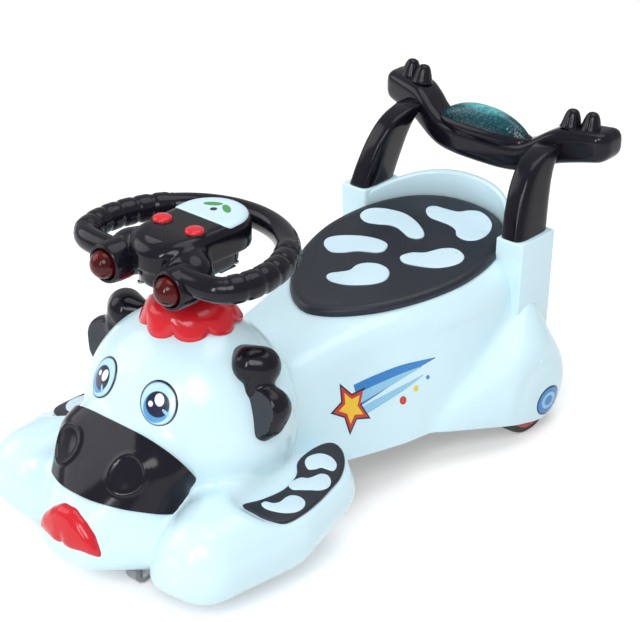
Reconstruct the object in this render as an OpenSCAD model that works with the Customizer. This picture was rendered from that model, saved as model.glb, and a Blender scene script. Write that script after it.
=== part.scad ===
// Ride-on wiggle car in the shape of a lying cow.
// Forward is -Y, up is +Z and the car's left is +X; the origin is on the ground, mid-length.

/* [Shell] */
// Wall of the moulded shell
wall = 3; // [2:0.5:4]
// Height of the shell's lower rim above the ground
rim_z = 12; // [9:1:16]

/* [Head] */
// Width of the head
head_w = 224; // [212:1:236]
// Length of the head
head_l = 234; // [222:1:246]
// Height of the head's full oval
head_h = 256; // [246:1:264]
// Height of the head's middle
head_z = 150; // [146:1:154]
// Head's middle behind the steering axis
head_setback = 9; // [4:1:14]
// Radius of the jaw at the middle
jaw_r = 54; // [51:1:56]
// Radius of the jaw at its sides
jaw_side_r = 44; // [42:1:46]
// Sideways place of the jaw's sides
jaw_side_x = 42; // [39:1:45]
// Front of the jaw ahead of the origin
jaw_front = 396; // [392:1:400]
// Jaw's sides behind its middle
jaw_side_setback = 25; // [20:1:30]
// Height of the jaw's middle
jaw_z = 78; // [75:1:81]
// Radius of the snout's upper corners
snout_r = 39; // [37:1:41]
// Sideways place of the snout's upper corners
snout_x = 49; // [47:1:51]
// Snout's upper corners ahead of the origin
snout_ahead = 301; // [298:1:304]
// Height of the snout's upper corners
snout_z = 137; // [134:1:139]
// Radius of the face that joins the snout to the forehead
face_r = 90; // [86:1:93]
// Radius of the flat crown under the collar
crown_r = 50; // [46:1:54]

/* [Face] */
// Thickness of the muzzle plate
muzzle_t = 3.5; // [3:0.5:4.5]
// Height of the muzzle plate's back edge over the snout's corners
muzzle_top_z = 160; // [156:1:164]
// Height of the muzzle plate's lower edge at the snout's corners
muzzle_low_z = 101; // [98:1:104]
// Muzzle plate's corners behind the snout's corners
muzzle_corner = 35; // [31:1:39]
// Radius of a nostril
nostril_r = 17; // [14:0.5:20]
// Upward lean of the nostrils
nostril_lift = 33; // [28:1:38]
// Thickness of the tongue
tongue_t = 7; // [5:0.5:9]
// Width of the tongue
tongue_w = 74; // [66:1:82]
// Height of the tongue
tongue_h = 56; // [50:1:62]
// Height of the tongue's lower corners
tongue_z = 52; // [50:1:56]

/* [Ears] */
// Radius of the ear's upper lobe
ear_r = 18; // [16:0.5:20]
// Length of the ear's upper lobe
ear_lobe_l = 26; // [22:1:30]
// Drop of the ear from its upper lobe to its tip
ear_drop = 76; // [70:1:82]
// Height of the ear's upper lobe
ear_z = 249; // [245:1:253]
// Sideways place of the ear's upper lobe
ear_x = 104; // [102:1:108]
// How far the ear's tip hangs outside the upper lobe
ear_lean = 24; // [20:1:28]

/* [Forelegs] */
// Radius of the paw
paw_r = 58; // [55:1:60]
// Sideways place of the paw
paw_x = 137; // [134:1:141]
// Paw ahead of the origin
paw_ahead = 306; // [300:1:312]
// Height of the paw's middle
paw_z = 74; // [72:1:78]
// Radius of the foreleg at its rear
hock_r = 42; // [40:1:44]
// Sideways place of the foreleg's rear
hock_x = 144; // [141:1:147]
// Rear of the foreleg ahead of the origin
hock_ahead = 130; // [127:1:133]
// Height of the foreleg's rear
hock_z = 74; // [72:1:77]
// Footrest's middle from the middle plane
foot_x = 166; // [163:1:169]
// Footrest's middle ahead of the origin
foot_ahead = 173; // [170:1:176]
// Height of the footrest's middle
foot_z = 100.3; // [99:0.1:102]
// Outward tilt of the footrest
footrest_tilt = 13; // [11:1:15]
// Length of the footrest panel
foot_panel_l = 164; // [160:1:168]
// Thickness of the footrest panel
foot_panel_t = 3; // [2:0.5:4]

/* [Torso] */
// Length of the torso, from inside the head to the tail end
torso_l = 506; // [500:1:512]
// Tail end behind the origin
tail_y = 340; // [336:1:344]
// Width of the torso at its widest
torso_w = 284; // [278:1:288]
// Height of the torso's deck at the origin
deck_z = 196; // [190:1:202]
// Radius of the torso's upper edges
deck_edge_r = 36; // [30:1:40]

/* [Seat] */
// Width of the seat panel
seat_w = 230; // [220:1:234]
// Seat panel's reach ahead of its widest place
seat_front = 176; // [168:1:180]
// Seat panel's reach behind its widest place
seat_rear = 146; // [140:1:149]
// Seat panel's widest place behind the origin
seat_y = 184; // [180:1:188]
// Height of the seat panel's broad base
seat_base_h = 7; // [5:0.5:9]
// Height of the seat panel's upper step
seat_step_h = 4; // [3.5:0.5:6]
// Width of the step round the seat panel
seat_step_w = 5; // [3:0.5:8]
// Thickness of the seat's inlaid spots
spot_t = 2.5; // [1.5:0.5:3]
// Height of the lip behind the seat, above the deck
lip_h = 54; // [46:1:60]
// Thickness of the lip behind the seat
lip_t = 9; // [7:0.5:11]

/* [Backrest] */
// Sideways place of the posts
post_x = 128; // [126:0.5:130]
// Post's foot behind the origin
post_y = 272; // [268:1:276]
// Width of the post's foot
post_w = 30; // [27:0.5:33]
// Depth of the post's foot
post_d = 56; // [52:1:60]
// Stand-out of the socket round the post
socket_rim = 1.5; // [1:0.5:2.5]
// How far a post's top stands behind its foot
post_back = 76; // [70:1:80]
// Step from the post in to its tenon
tenon_step = 3.5; // [3:0.5:4.5]
// Height of the socket's top
socket_z = 250; // [246:1:256]
// Depth of the post's tenon in the socket
tenon_l = 34; // [26:1:40]
// Width of the backrest bar
bar_w = 360; // [352:2:370]
// Depth of the backrest bar
bar_d = 48; // [44:1:51]
// Rear face of the bar behind the origin
bar_rear_y = 407; // [404:1:409]
// Height of the grip pads' middle
pad_z = 344; // [340:1:348]
// Thickness of the grip pads
pad_t = 28; // [24:1:32]
// Drop of the bar's middle below the grip pads
bar_dip = 37; // [33:1:40]
// Height of the bar at its middle
bar_mid_h = 46; // [40:1:50]
// Length of the lens
lens_w = 148; // [136:2:156]
// Height of the lens above the bar
lens_h = 20; // [17:1:23]
// Height of a grip knob
knob_h = 24; // [20:1:28]
// Radius of a grip knob's foot
knob_r = 11; // [9:0.5:12]

/* [Steering] */
// Steering axis ahead of the origin
steer_ahead = 200; // [194:1:206]
// Radius of the steering column
column_r = 11; // [9:0.5:12]
// Height of the collar on the crown
collar_h = 34; // [30:1:36]
// Radius of the collar's ring of lobes
collar_r = 45; // [42:1:48]
// Collar's middle behind the steering axis
collar_setback = 12; // [8:1:14]
// Number of lobes round the collar
collar_lobes = 10; // [8:1:12]
// Height of the steering ring's middle
ring_z = 356; // [353:1:362]
// Radius of the steering ring's middle line
ring_r = 118; // [114:1:122]
// Radius of the ring's tube
ring_tube_r = 14.5; // [13:0.5:16]
// Ring's open angle each side of straight ahead
ring_gap_angle = 62; // [58:1:66]
// Number of grip bands each side of the ring
band_count = 6; // [4:1:8]
// Height of a grip band above the tube
band_h = 1.2; // [0.8:0.1:1.6]
// Sideways place of the lamps
lamp_x = 50; // [47:1:53]
// Lamps ahead of the steering axis
lamp_ahead = 66; // [62:1:70]
// Lamps below the ring's middle
lamp_drop = 10; // [8:1:12]
// Radius of a lamp's lens
lamp_r = 16; // [14:0.5:17]
// Wall of a lamp's hood
hood_wall = 5; // [4:0.5:6]
// Half width of the hub
hub_r = 43; // [42:0.5:45]
// Half width of the hub's tray
tray_r = 35; // [34:0.5:37]
// Hub's front centre ahead of the steering axis
hub_ahead = 14; // [10:1:18]
// Hub's rear centre behind the steering axis
hub_behind = 58; // [54:1:60]
// Height of the hub's dome above the ring's middle
hub_dome_h = 29; // [26:1:32]
// Depth of the hub's tray below the ring's middle
tray_h = 31; // [30:1:34]
// Wall of the wheel's mouldings
wheel_wall = 2.5; // [2:0.5:3]
// Radius of a push button
button_r = 11; // [9:0.5:12]
// Distance between the push buttons
button_pitch = 50; // [46:1:54]
// Height of a button above the dome
button_h = 5; // [4:0.5:7]
// Travel of a button
button_travel = 2; // [1.5:0.5:2.5]

/* [Wheels] */
// Radius of the front wheels
front_wheel_r = 42; // [40:1:43]
// Width of a front wheel
front_wheel_w = 24; // [20:1:26]
// Front axle ahead of the steering axis
caster = 45; // [42:1:46]
// Radius of the rear wheels
rear_wheel_r = 50; // [47:1:52]
// Width of a rear wheel
rear_wheel_w = 28; // [24:1:30]
// Sideways place of the rear wheels
rear_wheel_x = 162; // [160:0.5:163]
// Rear axle behind the origin
rear_axle_y = 238; // [232:1:244]
// Radius of the axles
axle_r = 5; // [4:0.5:6]
// Thickness of the tyres
tyre_t = 9; // [7:0.5:11]
// Radius of the fender over a rear wheel
fender_r = 73; // [70:1:76]
// Height of the fender's middle
fender_z = 62; // [60:1:65]
// Outer face of the fender from the middle plane
fender_x = 188; // [187:0.5:190]
// Rounding of the fender's edge
fender_edge_r = 28; // [25:1:30]
// Radius of a stabiliser roller
roller_r = 15; // [13:0.5:16]
// Width of a stabiliser roller
roller_w = 16; // [14:1:18]
// Sideways place of the stabiliser rollers
roller_x = 46; // [45:0.5:47]
// Stabiliser rollers ahead of the steering axis
roller_ahead = 122; // [121:0.5:123]
// Height of the stabiliser rollers above the ground
roller_lift = 3; // [2:0.5:5]

/* [Base] */
// Height of the base pan's deck
pan_z = 62; // [60:1:64]
// Thickness of the base pan
pan_t = 3; // [2.5:0.5:4]
// Width of the belly tray
belly_w = 160; // [140:2:180]
// Length of the belly tray
belly_l = 170; // [150:2:180]
// Depth of the belly tray
belly_h = 16; // [12:1:20]

/* [Fits] */
// Gap between pieces that sit together
seat_gap = 0.2; // [0.1:0.05:0.3]
// Radial clearance of turning fits
run_fit = 0.05; // [0.02:0.01:0.1]
// Gap between pieces that pass each other
pass_gap = 0.5; // [0.3:0.1:0.8]
// Radius of the screws
screw_r = 2; // [1.5:0.25:2.5]

/* [Hidden] */

// Colours
pale = [0.86, 0.94, 0.97];
dark = [0.16, 0.14, 0.18];
grey = [0.2, 0.19, 0.22];
slab = [0.2, 0.18, 0.21];
red = [0.78, 0.1, 0.13];
steel = [0.75, 0.75, 0.77];
zinc = [0.7, 0.7, 0.72];
hub_red = [0.85, 0.2, 0.2];
tyre_black = [0.15, 0.15, 0.16];

// How far cuts reach past what they cut
overrun = wall;
// A length past every face of the car, for half-space cuts
reach = 3 * torso_l;
sides = [1, -1];

// Head and legs
steer_y = -steer_ahead;
head_y = steer_y + head_setback;
jaw_y = jaw_r - jaw_front;
crown_drop_share = sqrt(1 - pow(2 * crown_r / head_w, 2));
crown_z = head_z + head_h / 2 * crown_drop_share;
crown_t = 10;
// Depth of the cheeks below the head's middle
cheek_drop = 75;
// Face ball ahead of the head's middle
face_ahead = 21;
// Lean of the muzzle plate's back edge and of its lower edge
muzzle_back_tilt = 56.5;
muzzle_low_tilt = 15.6;
// Inward turn of the nostrils
nostril_turn = 10;
nostril_steps = 16;
// Tongue lobe stations from its corner to the cleft: sideways, height, radius, and setback of the jaw there
tongue_shares = [
    [0.9, 0.1, 0.1, 0.2], [0.78, 0.3, 0.2, 0.13], [0.56, 0.54, 0.3, 0.06], [0.34, 0.66, 0.34, 0.04],
    [0.22, 0.48, 0.34, 0.02], [0.36, 0.28, 0.26, 0.1], [0.6, 0.16, 0.16, 0.16]
];
// Ear stations: outward share of its lean, backward share of its lobe, drop share, radius share
ear_upper_shares = [
    [0, -0.2, -0.02, 0.84], [0.1, 0.1, 0, 0.93], [0.2, 0.4, 0, 0.95],
    [0.26, 0.7, 0.02, 0.92], [0.28, 1, 0.05, 0.8]
];
ear_root_shares = [[0.1, 0.3, 0.04, 0.75], [-1.7, 0.3, 0.14, 0.6]];
ear_lower_shares = [
    [0.2, 0.1, 0.1, 0.78], [0.62, -0.02, 0.17, 0.86], [0.9, -0.06, 0.27, 1], [1.1, -0.06, 0.4, 1.14],
    [1.28, -0.28, 0.57, 1.02], [1.4, -0.65, 0.76, 0.7], [1.46, -0.95, 0.94, 0.4]
];
ear_back = 12;
// Footrest land on top of each foreleg
foot_y = -foot_ahead;
flare_h = 28;
flare_w = 34;
land_margin = 7;
land_core_share = 0.6;
// Panel outline round the footrest, of the panel's length, sideways and along
foot_outline_shares = [
    [-0.16, -0.49], [-0.05, -0.48], [0.06, -0.45], [0.14, -0.37], [0.15, -0.21], [0.13, -0.04],
    [0.09, 0.14], [0.05, 0.28], [-0.03, 0.41], [-0.12, 0.49], [-0.21, 0.51], [-0.26, 0.45],
    [-0.27, 0.31], [-0.24, 0.15], [-0.15, 0.04], [-0.1, -0.14], [-0.12, -0.34]
];
// Spots on the panel: place, half length, half width, bend, turn and taper
foot_spot_shares = [
    [0.02, -0.27, 0.14, 0.05, 0.3, 62, 0.2], [-0.01, 0.03, 0.15, 0.05, -0.3, 74, 0.1],
    [-0.13, 0.3, 0.11, 0.06, 0.2, 44, 0]
];

// Torso stations along its length: low half width, deck half width, low edge height
torso_shares = [
    [0, 0.8, 0.5, 0.22], [0.15, 0.86, 0.5, 0.22], [0.33, 0.93, 0.56, 0.2], [0.51, 0.97, 0.72, 0.15],
    [0.68, 1, 0.87, 0.1], [0.84, 1, 0.86, 0.08], [0.94, 0.94, 0.76, 0.1], [1, 0.7, 0.54, 0.24]
];
torso_steps = 16;
deck_rise_share = 0.1;
deck_tilt = atan(deck_rise_share);
torso_front_y = tail_y - torso_l;
// Seat outline: how square its front and rear quarters are
seat_front_power = 1.18;
seat_points = 60;
plinth_h = 16;
plinth_margin = 2;
seat_h = seat_base_h + seat_step_h;
// Spots on the seat, of its half width: place, half length, half width, bend, turn and taper
seat_spot_shares = [
    [0.01, -0.68, 0.33, 0.18, 0.3, 60, 0.25], [-0.45, -0.25, 0.33, 0.17, -0.15, 34, -0.15],
    [0.45, 0.05, 0.33, 0.17, 0.3, 48, 0.2], [-0.42, 0.38, 0.44, 0.17, -0.55, 0, 0.05],
    [0.18, 0.84, 0.4, 0.2, 0.25, 12, 0.45]
];
spot_points = 36;
spot_floor = seat_h - spot_t - wall / 6;

// Thigh ahead of each fender
thigh_x = 118;
thigh_y = 114;
thigh_z = 44;
thigh_r = 28;
fender_mid_x = fender_x - fender_edge_r;

// Backrest
socket_low_z = 112;
socket_flare = 7;
backrest_screw_l = 12;
socket_edge_r = 7;
bar_y = bar_rear_y - bar_d / 2;
bar_mid_z = pad_z - bar_dip;
bar_flat_z = bar_mid_z + bar_mid_h / 2;
post_top_z = pad_z - pad_t / 4;
// Post stations from the socket up: backward share, height share, width share, depth share
post_shares = [
    [0, 0, 1, 1], [0.12, 0.22, 0.97, 0.91], [0.3, 0.46, 0.94, 0.82], [0.43, 0.62, 0.92, 0.76],
    [0.57, 0.8, 0.9, 0.69], [0.74, 0.92, 0.88, 0.64], [1, 1, 0.86, 0.6]
];
post_steps = 10;
post_points = 24;
post_power = 0.5;
// Bar stations from its middle: sideways, rise to the pads, height blend to the pads, depth
bar_shares = [
    [0, 0, 0, 0.86], [0.18, 0, 0, 0.86], [0.34, 0.08, 0.08, 0.88], [0.45, 0.45, 0.45, 0.92],
    [0.54, 0.9, 0.9, 0.97], [0.66, 1, 1, 1], [0.84, 1.08, 1, 0.98],
    [0.95, 1.16, 0.95, 0.88], [1, 1.18, 0.92, 0.84]
];
bar_steps = 12;
bar_points = 20;
bar_power = 0.55;
bar_edge_r = 9;
knob_sink = 2;
knob_tip_share = 0.45;
lens_ahead = 4;
lens_d_share = 0.34;
// Knob places on a pad, of half the bar's width and of its depth, and size
knob_shares = [[0.6, 0.02, 0.95], [0.745, 0.04, 1]];

// Wheels and their carriers
arm_w = 26;
arm_boss_r = 15;
side_gap = pass_gap;
front_wheel_x = arm_w / 2 + side_gap + front_wheel_w / 2;
front_axle_y = steer_y - caster;
cap_l = 7;
cap_wall = 4;
cap_r = axle_r + cap_wall;
well_margin = 6;
front_out_x = front_wheel_x + front_wheel_w / 2;
well_r = sqrt(pow(caster + front_wheel_r, 2) + pow(front_out_x, 2)) + well_margin;
yoke_rise = 20;
yoke_top_z = 2 * front_wheel_r + yoke_rise;
yoke_wall = 9;
yoke_r = column_r + yoke_wall;
yoke_drop = 12;
yoke_low_z = 2 * front_wheel_r - yoke_drop;
hub_boss_wall = 7;
hub_boss_r = axle_r + hub_boss_wall;
hub_web_t = 6;
rim_t = 5;
tyre_edge = 4;
bracket_x = 104;
bracket_w = 16;
bracket_d = 36;
bracket_low = 9;
roller_pin_r = 3;
roller_y = steer_y - roller_ahead;
roller_z = roller_r + roller_lift;
cheek_t = 3;
roller_flange_rise = 28;
roller_flange_z = jaw_z - jaw_r + roller_flange_rise;
roller_flange_d = 32;
roller_margin = 5;
roller_slot_d = 2 * (roller_r + roller_margin);
roller_slot_w = roller_w + 4 * pass_gap + 2 * cheek_t;
roller_flange_w = roller_slot_w + 2 * cheek_t;
roller_seat_w = roller_flange_w + 2 * wall;

// Steering housing and bushes
bush_t = 3;
bush_l = 20;
bush_flange = 2.5;
bush_r = column_r + bush_t;
housing_wall = 4;
housing_r = bush_r + housing_wall;
housing_low_z = yoke_top_z + bush_flange + pass_gap;
crown_land = 6;
flange_r = crown_r - crown_land;
flange_t = 5;
flange_z = crown_z - crown_t - flange_t - seat_gap;
clip_t = 3;
column_seat = 34;
column_low_z = yoke_top_z - column_seat;
column_wall = 2.5;
collar_bore_r = housing_r + wall;
collar_lobe_r = 15;
crown_margin = 4;

// Steering wheel
lamp_z = ring_z - lamp_drop;
lamp_y = steer_y - lamp_ahead;
hood_r = lamp_r + hood_wall;
hood_l = 42;
hood_bore_l = 26;
stub_step = 1.5;
stub_r = ring_tube_r - stub_step;
hood_joint_share = 0.8;
ring_end_angle = 4;
band_angle = 5;
band_pitch = 8.5;
band_mid_angle = 62;
wheel_gap = 3;
hub_low_z = crown_z + collar_h + wheel_gap;
tray_low_z = ring_z - tray_h;
cone_wall = 12;
cone_low_r = column_r + cone_wall;
cone_flare = 10;
cone_h = tray_low_z + wheel_wall / 2 - hub_low_z;
cone_top_r = cone_low_r + cone_flare;
boss_wall = 6;
boss_r = column_r + boss_wall;
boss_drop = 13;
boss_top_z = ring_z - boss_drop;
column_top_z = boss_top_z - wheel_wall;
hub_front_y = steer_y - hub_ahead;
hub_rear_y = steer_y + hub_behind;
hub_edge_r = 12;
tray_setback = 14;
tray_rear_y = hub_rear_y - tray_setback;
dome_z = ring_z + hub_dome_h;
dome_under_z = dome_z - wheel_wall;
panel_t = 2;
panel_margin = 6;
panel_x = hub_r - panel_margin;
button_clear = 18;
panel_front_y = steer_y + button_r + button_clear;
bolt_r = 3;
bolt_z = tray_low_z + wheel_wall + 2 * bolt_r;
bolt_l = 2 * (boss_r + bolt_r);
bolt_head_share = 1.7;
flange_lip = 2;
button_flange_t = 2.5;
button_stem = 3;
button_low_z = dome_under_z - pass_gap - button_flange_t - button_stem;
switch_top_z = button_low_z - button_travel - pass_gap;
switch_h = 3.5;
board_t = 1.6;
board_z = switch_top_z - switch_h - board_t;
board_w = 58;
board_d = 34;
speaker_r = 15;
speaker_h = 9;
speaker_y = hub_front_y - hub_r + speaker_r + hub_edge_r;
hole_r = 1.3;
battery_r = 7.2;
battery_l = 50;
battery_setback = 2;
battery_z = tray_low_z + wheel_wall + battery_r + seat_gap;
battery_y = tray_rear_y - battery_setback;
cover_w = 58;
cover_d = 24;
cover_t = 2;
cover_y = tray_rear_y + wall;
// Screw posts of the wheel: sideways of the hub's half width, and front or rear
wheel_post_shares = [[0.62, -0.72], [-0.62, -0.72], [0.62, 0.62], [-0.62, 0.62]];
post_boss_r = screw_r + wall;
led_r = 2.5;

// Screw places in the base pan: sideways of half the belly, along of the torso from its front
shell_screw_shares = [[1.05, 0.3], [-1.05, 0.3], [1.05, 0.62], [-1.05, 0.62], [0.75, 0.95], [-0.75, 0.95]];
shell_boss_wall = 5;
shell_boss_r = screw_r + shell_boss_wall;
shell_screw_l = 18;
pan_setback = 106;
pan_front_y = torso_front_y + pan_setback;
pan_tail_gap = 16;
pan_rear_y = tail_y - pan_tail_gap;
pan_clear = 2;
belly_setback = 16;
belly_y = pan_front_y + belly_l / 2 + belly_setback;

function signed_power(v, p) = sign(v) * pow(abs(v), p);
function segment(tab, t, i = 0) = (i >= len(tab) - 2 || t < tab[i + 1][0]) ? i : segment(tab, t, i + 1);
function slope(tab, i, c) =
    let (a = max(i - 1, 0), b = min(i + 1, len(tab) - 1))
    (tab[b][c] - tab[a][c]) / (tab[b][0] - tab[a][0]);
// Value of column c of a table at t, on a smooth curve through its rows
function along(tab, t, c) =
    let (
        i = segment(tab, t),
        h = tab[i + 1][0] - tab[i][0],
        u = (t - tab[i][0]) / h
    )
    (2 * pow(u, 3) - 3 * pow(u, 2) + 1) * tab[i][c] + (pow(u, 3) - 2 * pow(u, 2) + u) * h * slope(tab, i, c)
    + (3 * pow(u, 2) - 2 * pow(u, 3)) * tab[i + 1][c] + (pow(u, 3) - pow(u, 2)) * h * slope(tab, i + 1, c);
// Closed smooth outline through a ring of points
function round_outline(pts, steps) = [
    for (i = [0:len(pts) - 1], k = [0:steps - 1])
        let (
            n = len(pts),
            u = k / steps,
            a = pts[(i + n - 1) % n],
            b = pts[i],
            c = pts[(i + 1) % n],
            d = pts[(i + 2) % n]
        )
        (2 * b + (c - a) * u + (2 * a - 5 * b + 4 * c - d) * pow(u, 2)
        + (3 * b - a - 3 * c + d) * pow(u, 3)) / 2
];
// A bean-shaped spot: an oval bent along its length and broader at one end
function bean(a, b, bend_share, taper_share) = [
    for (k = [0:spot_points - 1])
        let (t = 360 * k / spot_points)
        [a * cos(t), b * (1 + taper_share * cos(t)) * sin(t) + bend_share * b * (2 * pow(cos(t), 2) - 1)]
];
function deck_at(y) = deck_z + deck_rise_share * y;
function torso_low_half(y) = torso_w / 2 * along(torso_shares, (y - torso_front_y) / torso_l, 1);
function seat_outline(grow) = [
    for (k = [0:seat_points - 1])
        let (
            t = 360 * k / seat_points,
            p = sin(t) < 0 ? seat_front_power : 1,
            span = sin(t) < 0 ? seat_front : seat_rear
        )
        [(seat_w / 2 + grow) * signed_power(cos(t), p), seat_y + (span + grow) * signed_power(sin(t), p)]
];

// Solid skinned over a list of rings with the same number of points
module loft(rings) {
    n = len(rings[0]);
    m = len(rings);
    polyhedron(
        points = [for (r = rings, p = r) p],
        faces = concat(
            [[for (k = [0:n - 1]) k]],
            [for (j = [0:m - 2], k = [0:n - 1]) [j * n + k, (j + 1) * n + k, j * n + (k + 1) % n]],
            [for (j = [0:m - 2], k = [0:n - 1])
                [j * n + (k + 1) % n, (j + 1) * n + k, (j + 1) * n + (k + 1) % n]],
            [[for (k = [n - 1:-1:0]) (m - 1) * n + k]]
        )
    );
}

// Balls joined in a chain: each entry is [place, radius]
module ball_chain(balls, n) {
    for (i = [0:len(balls) - 2])
        hull() {
            translate(balls[i][0]) sphere(balls[i][1], $fn = n);
            translate(balls[i + 1][0]) sphere(balls[i + 1][1], $fn = n);
        }
}

// Facets round a form: the inside of the shell is drawn coarser
function fine(inset) = inset > 0 ? 14 : 24;

// Half of space above a height
module above(z) {
    translate([-reach / 2, -reach / 2, z]) cube(reach);
}

module below(z) {
    translate([-reach / 2, -reach / 2, z - reach]) cube(reach);
}

module on_deck() {
    translate([0, 0, deck_z]) rotate([deck_tilt, 0, 0]) children();
}

module screw(l) {
    cylinder(r = screw_r, h = l, $fn = 24);
    translate([0, 0, -screw_r]) cylinder(r = 2 * screw_r, h = screw_r, $fn = 32);
}

// Ring of the torso's section at a share of its length, drawn in by inset and open below when inset
function torso_ring(share, inset) =
    let (
        y = torso_front_y + share * torso_l,
        low_x = torso_w / 2 * along(torso_shares, share, 1) - inset,
        top_x = torso_w / 2 * along(torso_shares, share, 2) - inset + deck_edge_r / 4,
        low = deck_z * along(torso_shares, share, 3) - (inset > 0 ? overrun : 0),
        top = deck_at(y) - inset,
        r = deck_edge_r - inset,
        half = concat(
            [[low_x, y, low], [(2 * low_x + top_x) / 3, y, (2 * low + top - r) / 3]],
            [[(low_x + 2 * top_x) / 3, y, (low + 2 * (top - r)) / 3]],
            [for (a = [0:18:90]) [top_x - r + r * cos(a), y, top - r + r * sin(a)]]
        )
    )
    concat(half, [for (k = [len(half) - 1:-1:0]) [-half[k][0], y, half[k][2]]]);

module torso_form(inset) {
    margin_share = inset / torso_l;
    span_share = 1 - 2 * margin_share;
    loft([for (k = [torso_steps:-1:0]) torso_ring(margin_share + k / torso_steps * span_share, inset)]);
}

module head_form(inset) {
    translate([0, head_y, head_z])
        hull() {
            scale([head_w / 2 - inset, head_l / 2 - inset, head_h / 2 - inset]) sphere(1, $fn = fine(inset));
            translate([0, 0, -cheek_drop])
                scale([head_w / 2 - inset, head_l / 2 - inset, 1])
                    cylinder(r = 1, h = wall, $fn = fine(inset));
        }
}

// Upper corner of the snout
module snout_ball(side, inset) {
    translate([side * snout_x, -snout_ahead, snout_z]) sphere(snout_r - inset, $fn = fine(inset));
}

module jaw_form(inset) {
    hull() {
        translate([0, jaw_y, jaw_z]) sphere(jaw_r - inset, $fn = fine(inset));
        for (s = sides) {
            snout_ball(s, inset);
            translate([s * jaw_side_x, jaw_y + jaw_side_setback, jaw_z])
                sphere(jaw_side_r - inset, $fn = fine(inset));
        }
    }
}

// Cheeks and brow that run from the snout up to the forehead
module face_form(inset) {
    hull() {
        translate([0, head_y - face_ahead, head_z]) sphere(face_r - inset, $fn = fine(inset));
        for (s = sides) snout_ball(s, inset);
    }
}

// Places children on a foreleg's footrest, with Z off its face
module on_footrest(side) {
    translate([side * foot_x, foot_y, foot_z]) rotate([0, side * footrest_tilt, 0]) children();
}

module foreleg_form(side, inset) {
    hull() {
        translate([side * paw_x, -paw_ahead, paw_z]) sphere(paw_r - inset, $fn = fine(inset));
        translate([side * hock_x, -hock_ahead, hock_z]) sphere(hock_r - inset, $fn = fine(inset));
    }
}

module haunch_form(side, inset) {
    hull() {
        translate([side * fender_mid_x, rear_axle_y, fender_z])
            rotate([0, 90, 0])
                rotate_extrude($fn = fine(inset))
                    translate([fender_r - fender_edge_r, 0]) circle(fender_edge_r - inset, $fn = 14);
        translate([side * thigh_x, thigh_y, thigh_z]) sphere(thigh_r - inset, $fn = 14);
    }
}

module socket_form(side) {
    half_x = post_w / 2 + socket_rim - socket_edge_r;
    half_y = post_d / 2 + socket_rim - socket_edge_r;
    hull()
        for (sx = sides, sy = sides) {
            translate([side * post_x + sx * half_x, post_y + sy * half_y, socket_z - wall])
                cylinder(r = socket_edge_r, h = wall, $fn = 24);
            translate([side * (post_x + socket_flare) + sx * half_x, post_y + sy * half_y, socket_low_z])
                cylinder(r = socket_edge_r, h = wall, $fn = 24);
        }
}

// Flat platform under the seat
module plinth_form() {
    on_deck() translate([0, 0, -plinth_h]) linear_extrude(plinth_h) polygon(seat_outline(plinth_margin));
}

// Land under a footrest panel, and the pocket that the panel lies in
module foot_land(side) {
    hull() {
        on_footrest(side)
            mirror([side < 0 ? 1 : 0, 0, 0])
                translate([0, 0, -wall]) linear_extrude(wall) offset(r = land_margin, $fn = 8) foot_outline();
        translate([side * paw_x, -paw_ahead + paw_r / 2, paw_z]) sphere(paw_r * land_core_share, $fn = 12);
        translate([side * hock_x, -hock_ahead, hock_z]) sphere(hock_r * land_core_share, $fn = 12);
    }
}

module foot_pocket(side, grow) {
    on_footrest(side)
        mirror([side < 0 ? 1 : 0, 0, 0])
            translate([0, 0, -grow])
                hull() {
                    linear_extrude(seat_gap) offset(r = wall / 2 + grow, $fn = 8) foot_outline();
                    translate([0, 0, flare_h])
                        linear_extrude(seat_gap) offset(r = flare_w + grow, $fn = 8) foot_outline();
                }
}

module foot_outline() {
    polygon(round_outline(foot_outline_shares * foot_panel_l, 2));
}

// Wall behind the seat, highest at the tail
module lip_form() {
    lip_tilt = atan((deck_at(tail_y) + lip_h - socket_z) / (tail_y - post_y + post_d / 2));
    intersection() {
        on_deck()
            translate([0, 0, -plinth_h])
            linear_extrude(lip_h + plinth_h)
                difference() {
                    polygon(seat_outline(seat_gap + lip_t));
                    polygon(seat_outline(seat_gap + pass_gap));
                }
        translate([0, post_y - post_d / 2, socket_z - 2 * wall])
            rotate([lip_tilt, 0, 0]) below(0);
        translate([-reach / 2, post_y - post_d / 2, 0]) cube(reach);
    }
}

module shell_form(inset) {
    torso_form(inset);
    head_form(inset);
    jaw_form(inset);
    face_form(inset);
    for (s = sides) {
        haunch_form(s, inset);
        difference() {
            foreleg_form(s, inset);
            foot_pocket(s, inset);
        }
    }
}

module shell_bosses(r, h) {
    for (s = shell_screw_shares)
        translate([s[0] * belly_w / 2, torso_front_y + s[1] * torso_l, pan_z + pan_t + seat_gap])
            cylinder(r = r, h = h, $fn = 14);
}

module roller_slot(side) {
    translate([side * roller_x - roller_slot_w / 2, roller_y - roller_slot_d / 2, -overrun])
        cube([roller_slot_w, roller_slot_d, roller_flange_z + overrun]);
}

// Block in the jaw that a roller bracket's flange rests on
module roller_seat(side) {
    translate([side * roller_x - roller_seat_w / 2, roller_y - roller_slot_d / 2 - wall, rim_z])
        cube([roller_seat_w, roller_slot_d + 2 * wall, roller_flange_z - seat_gap - rim_z]);
}

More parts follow.
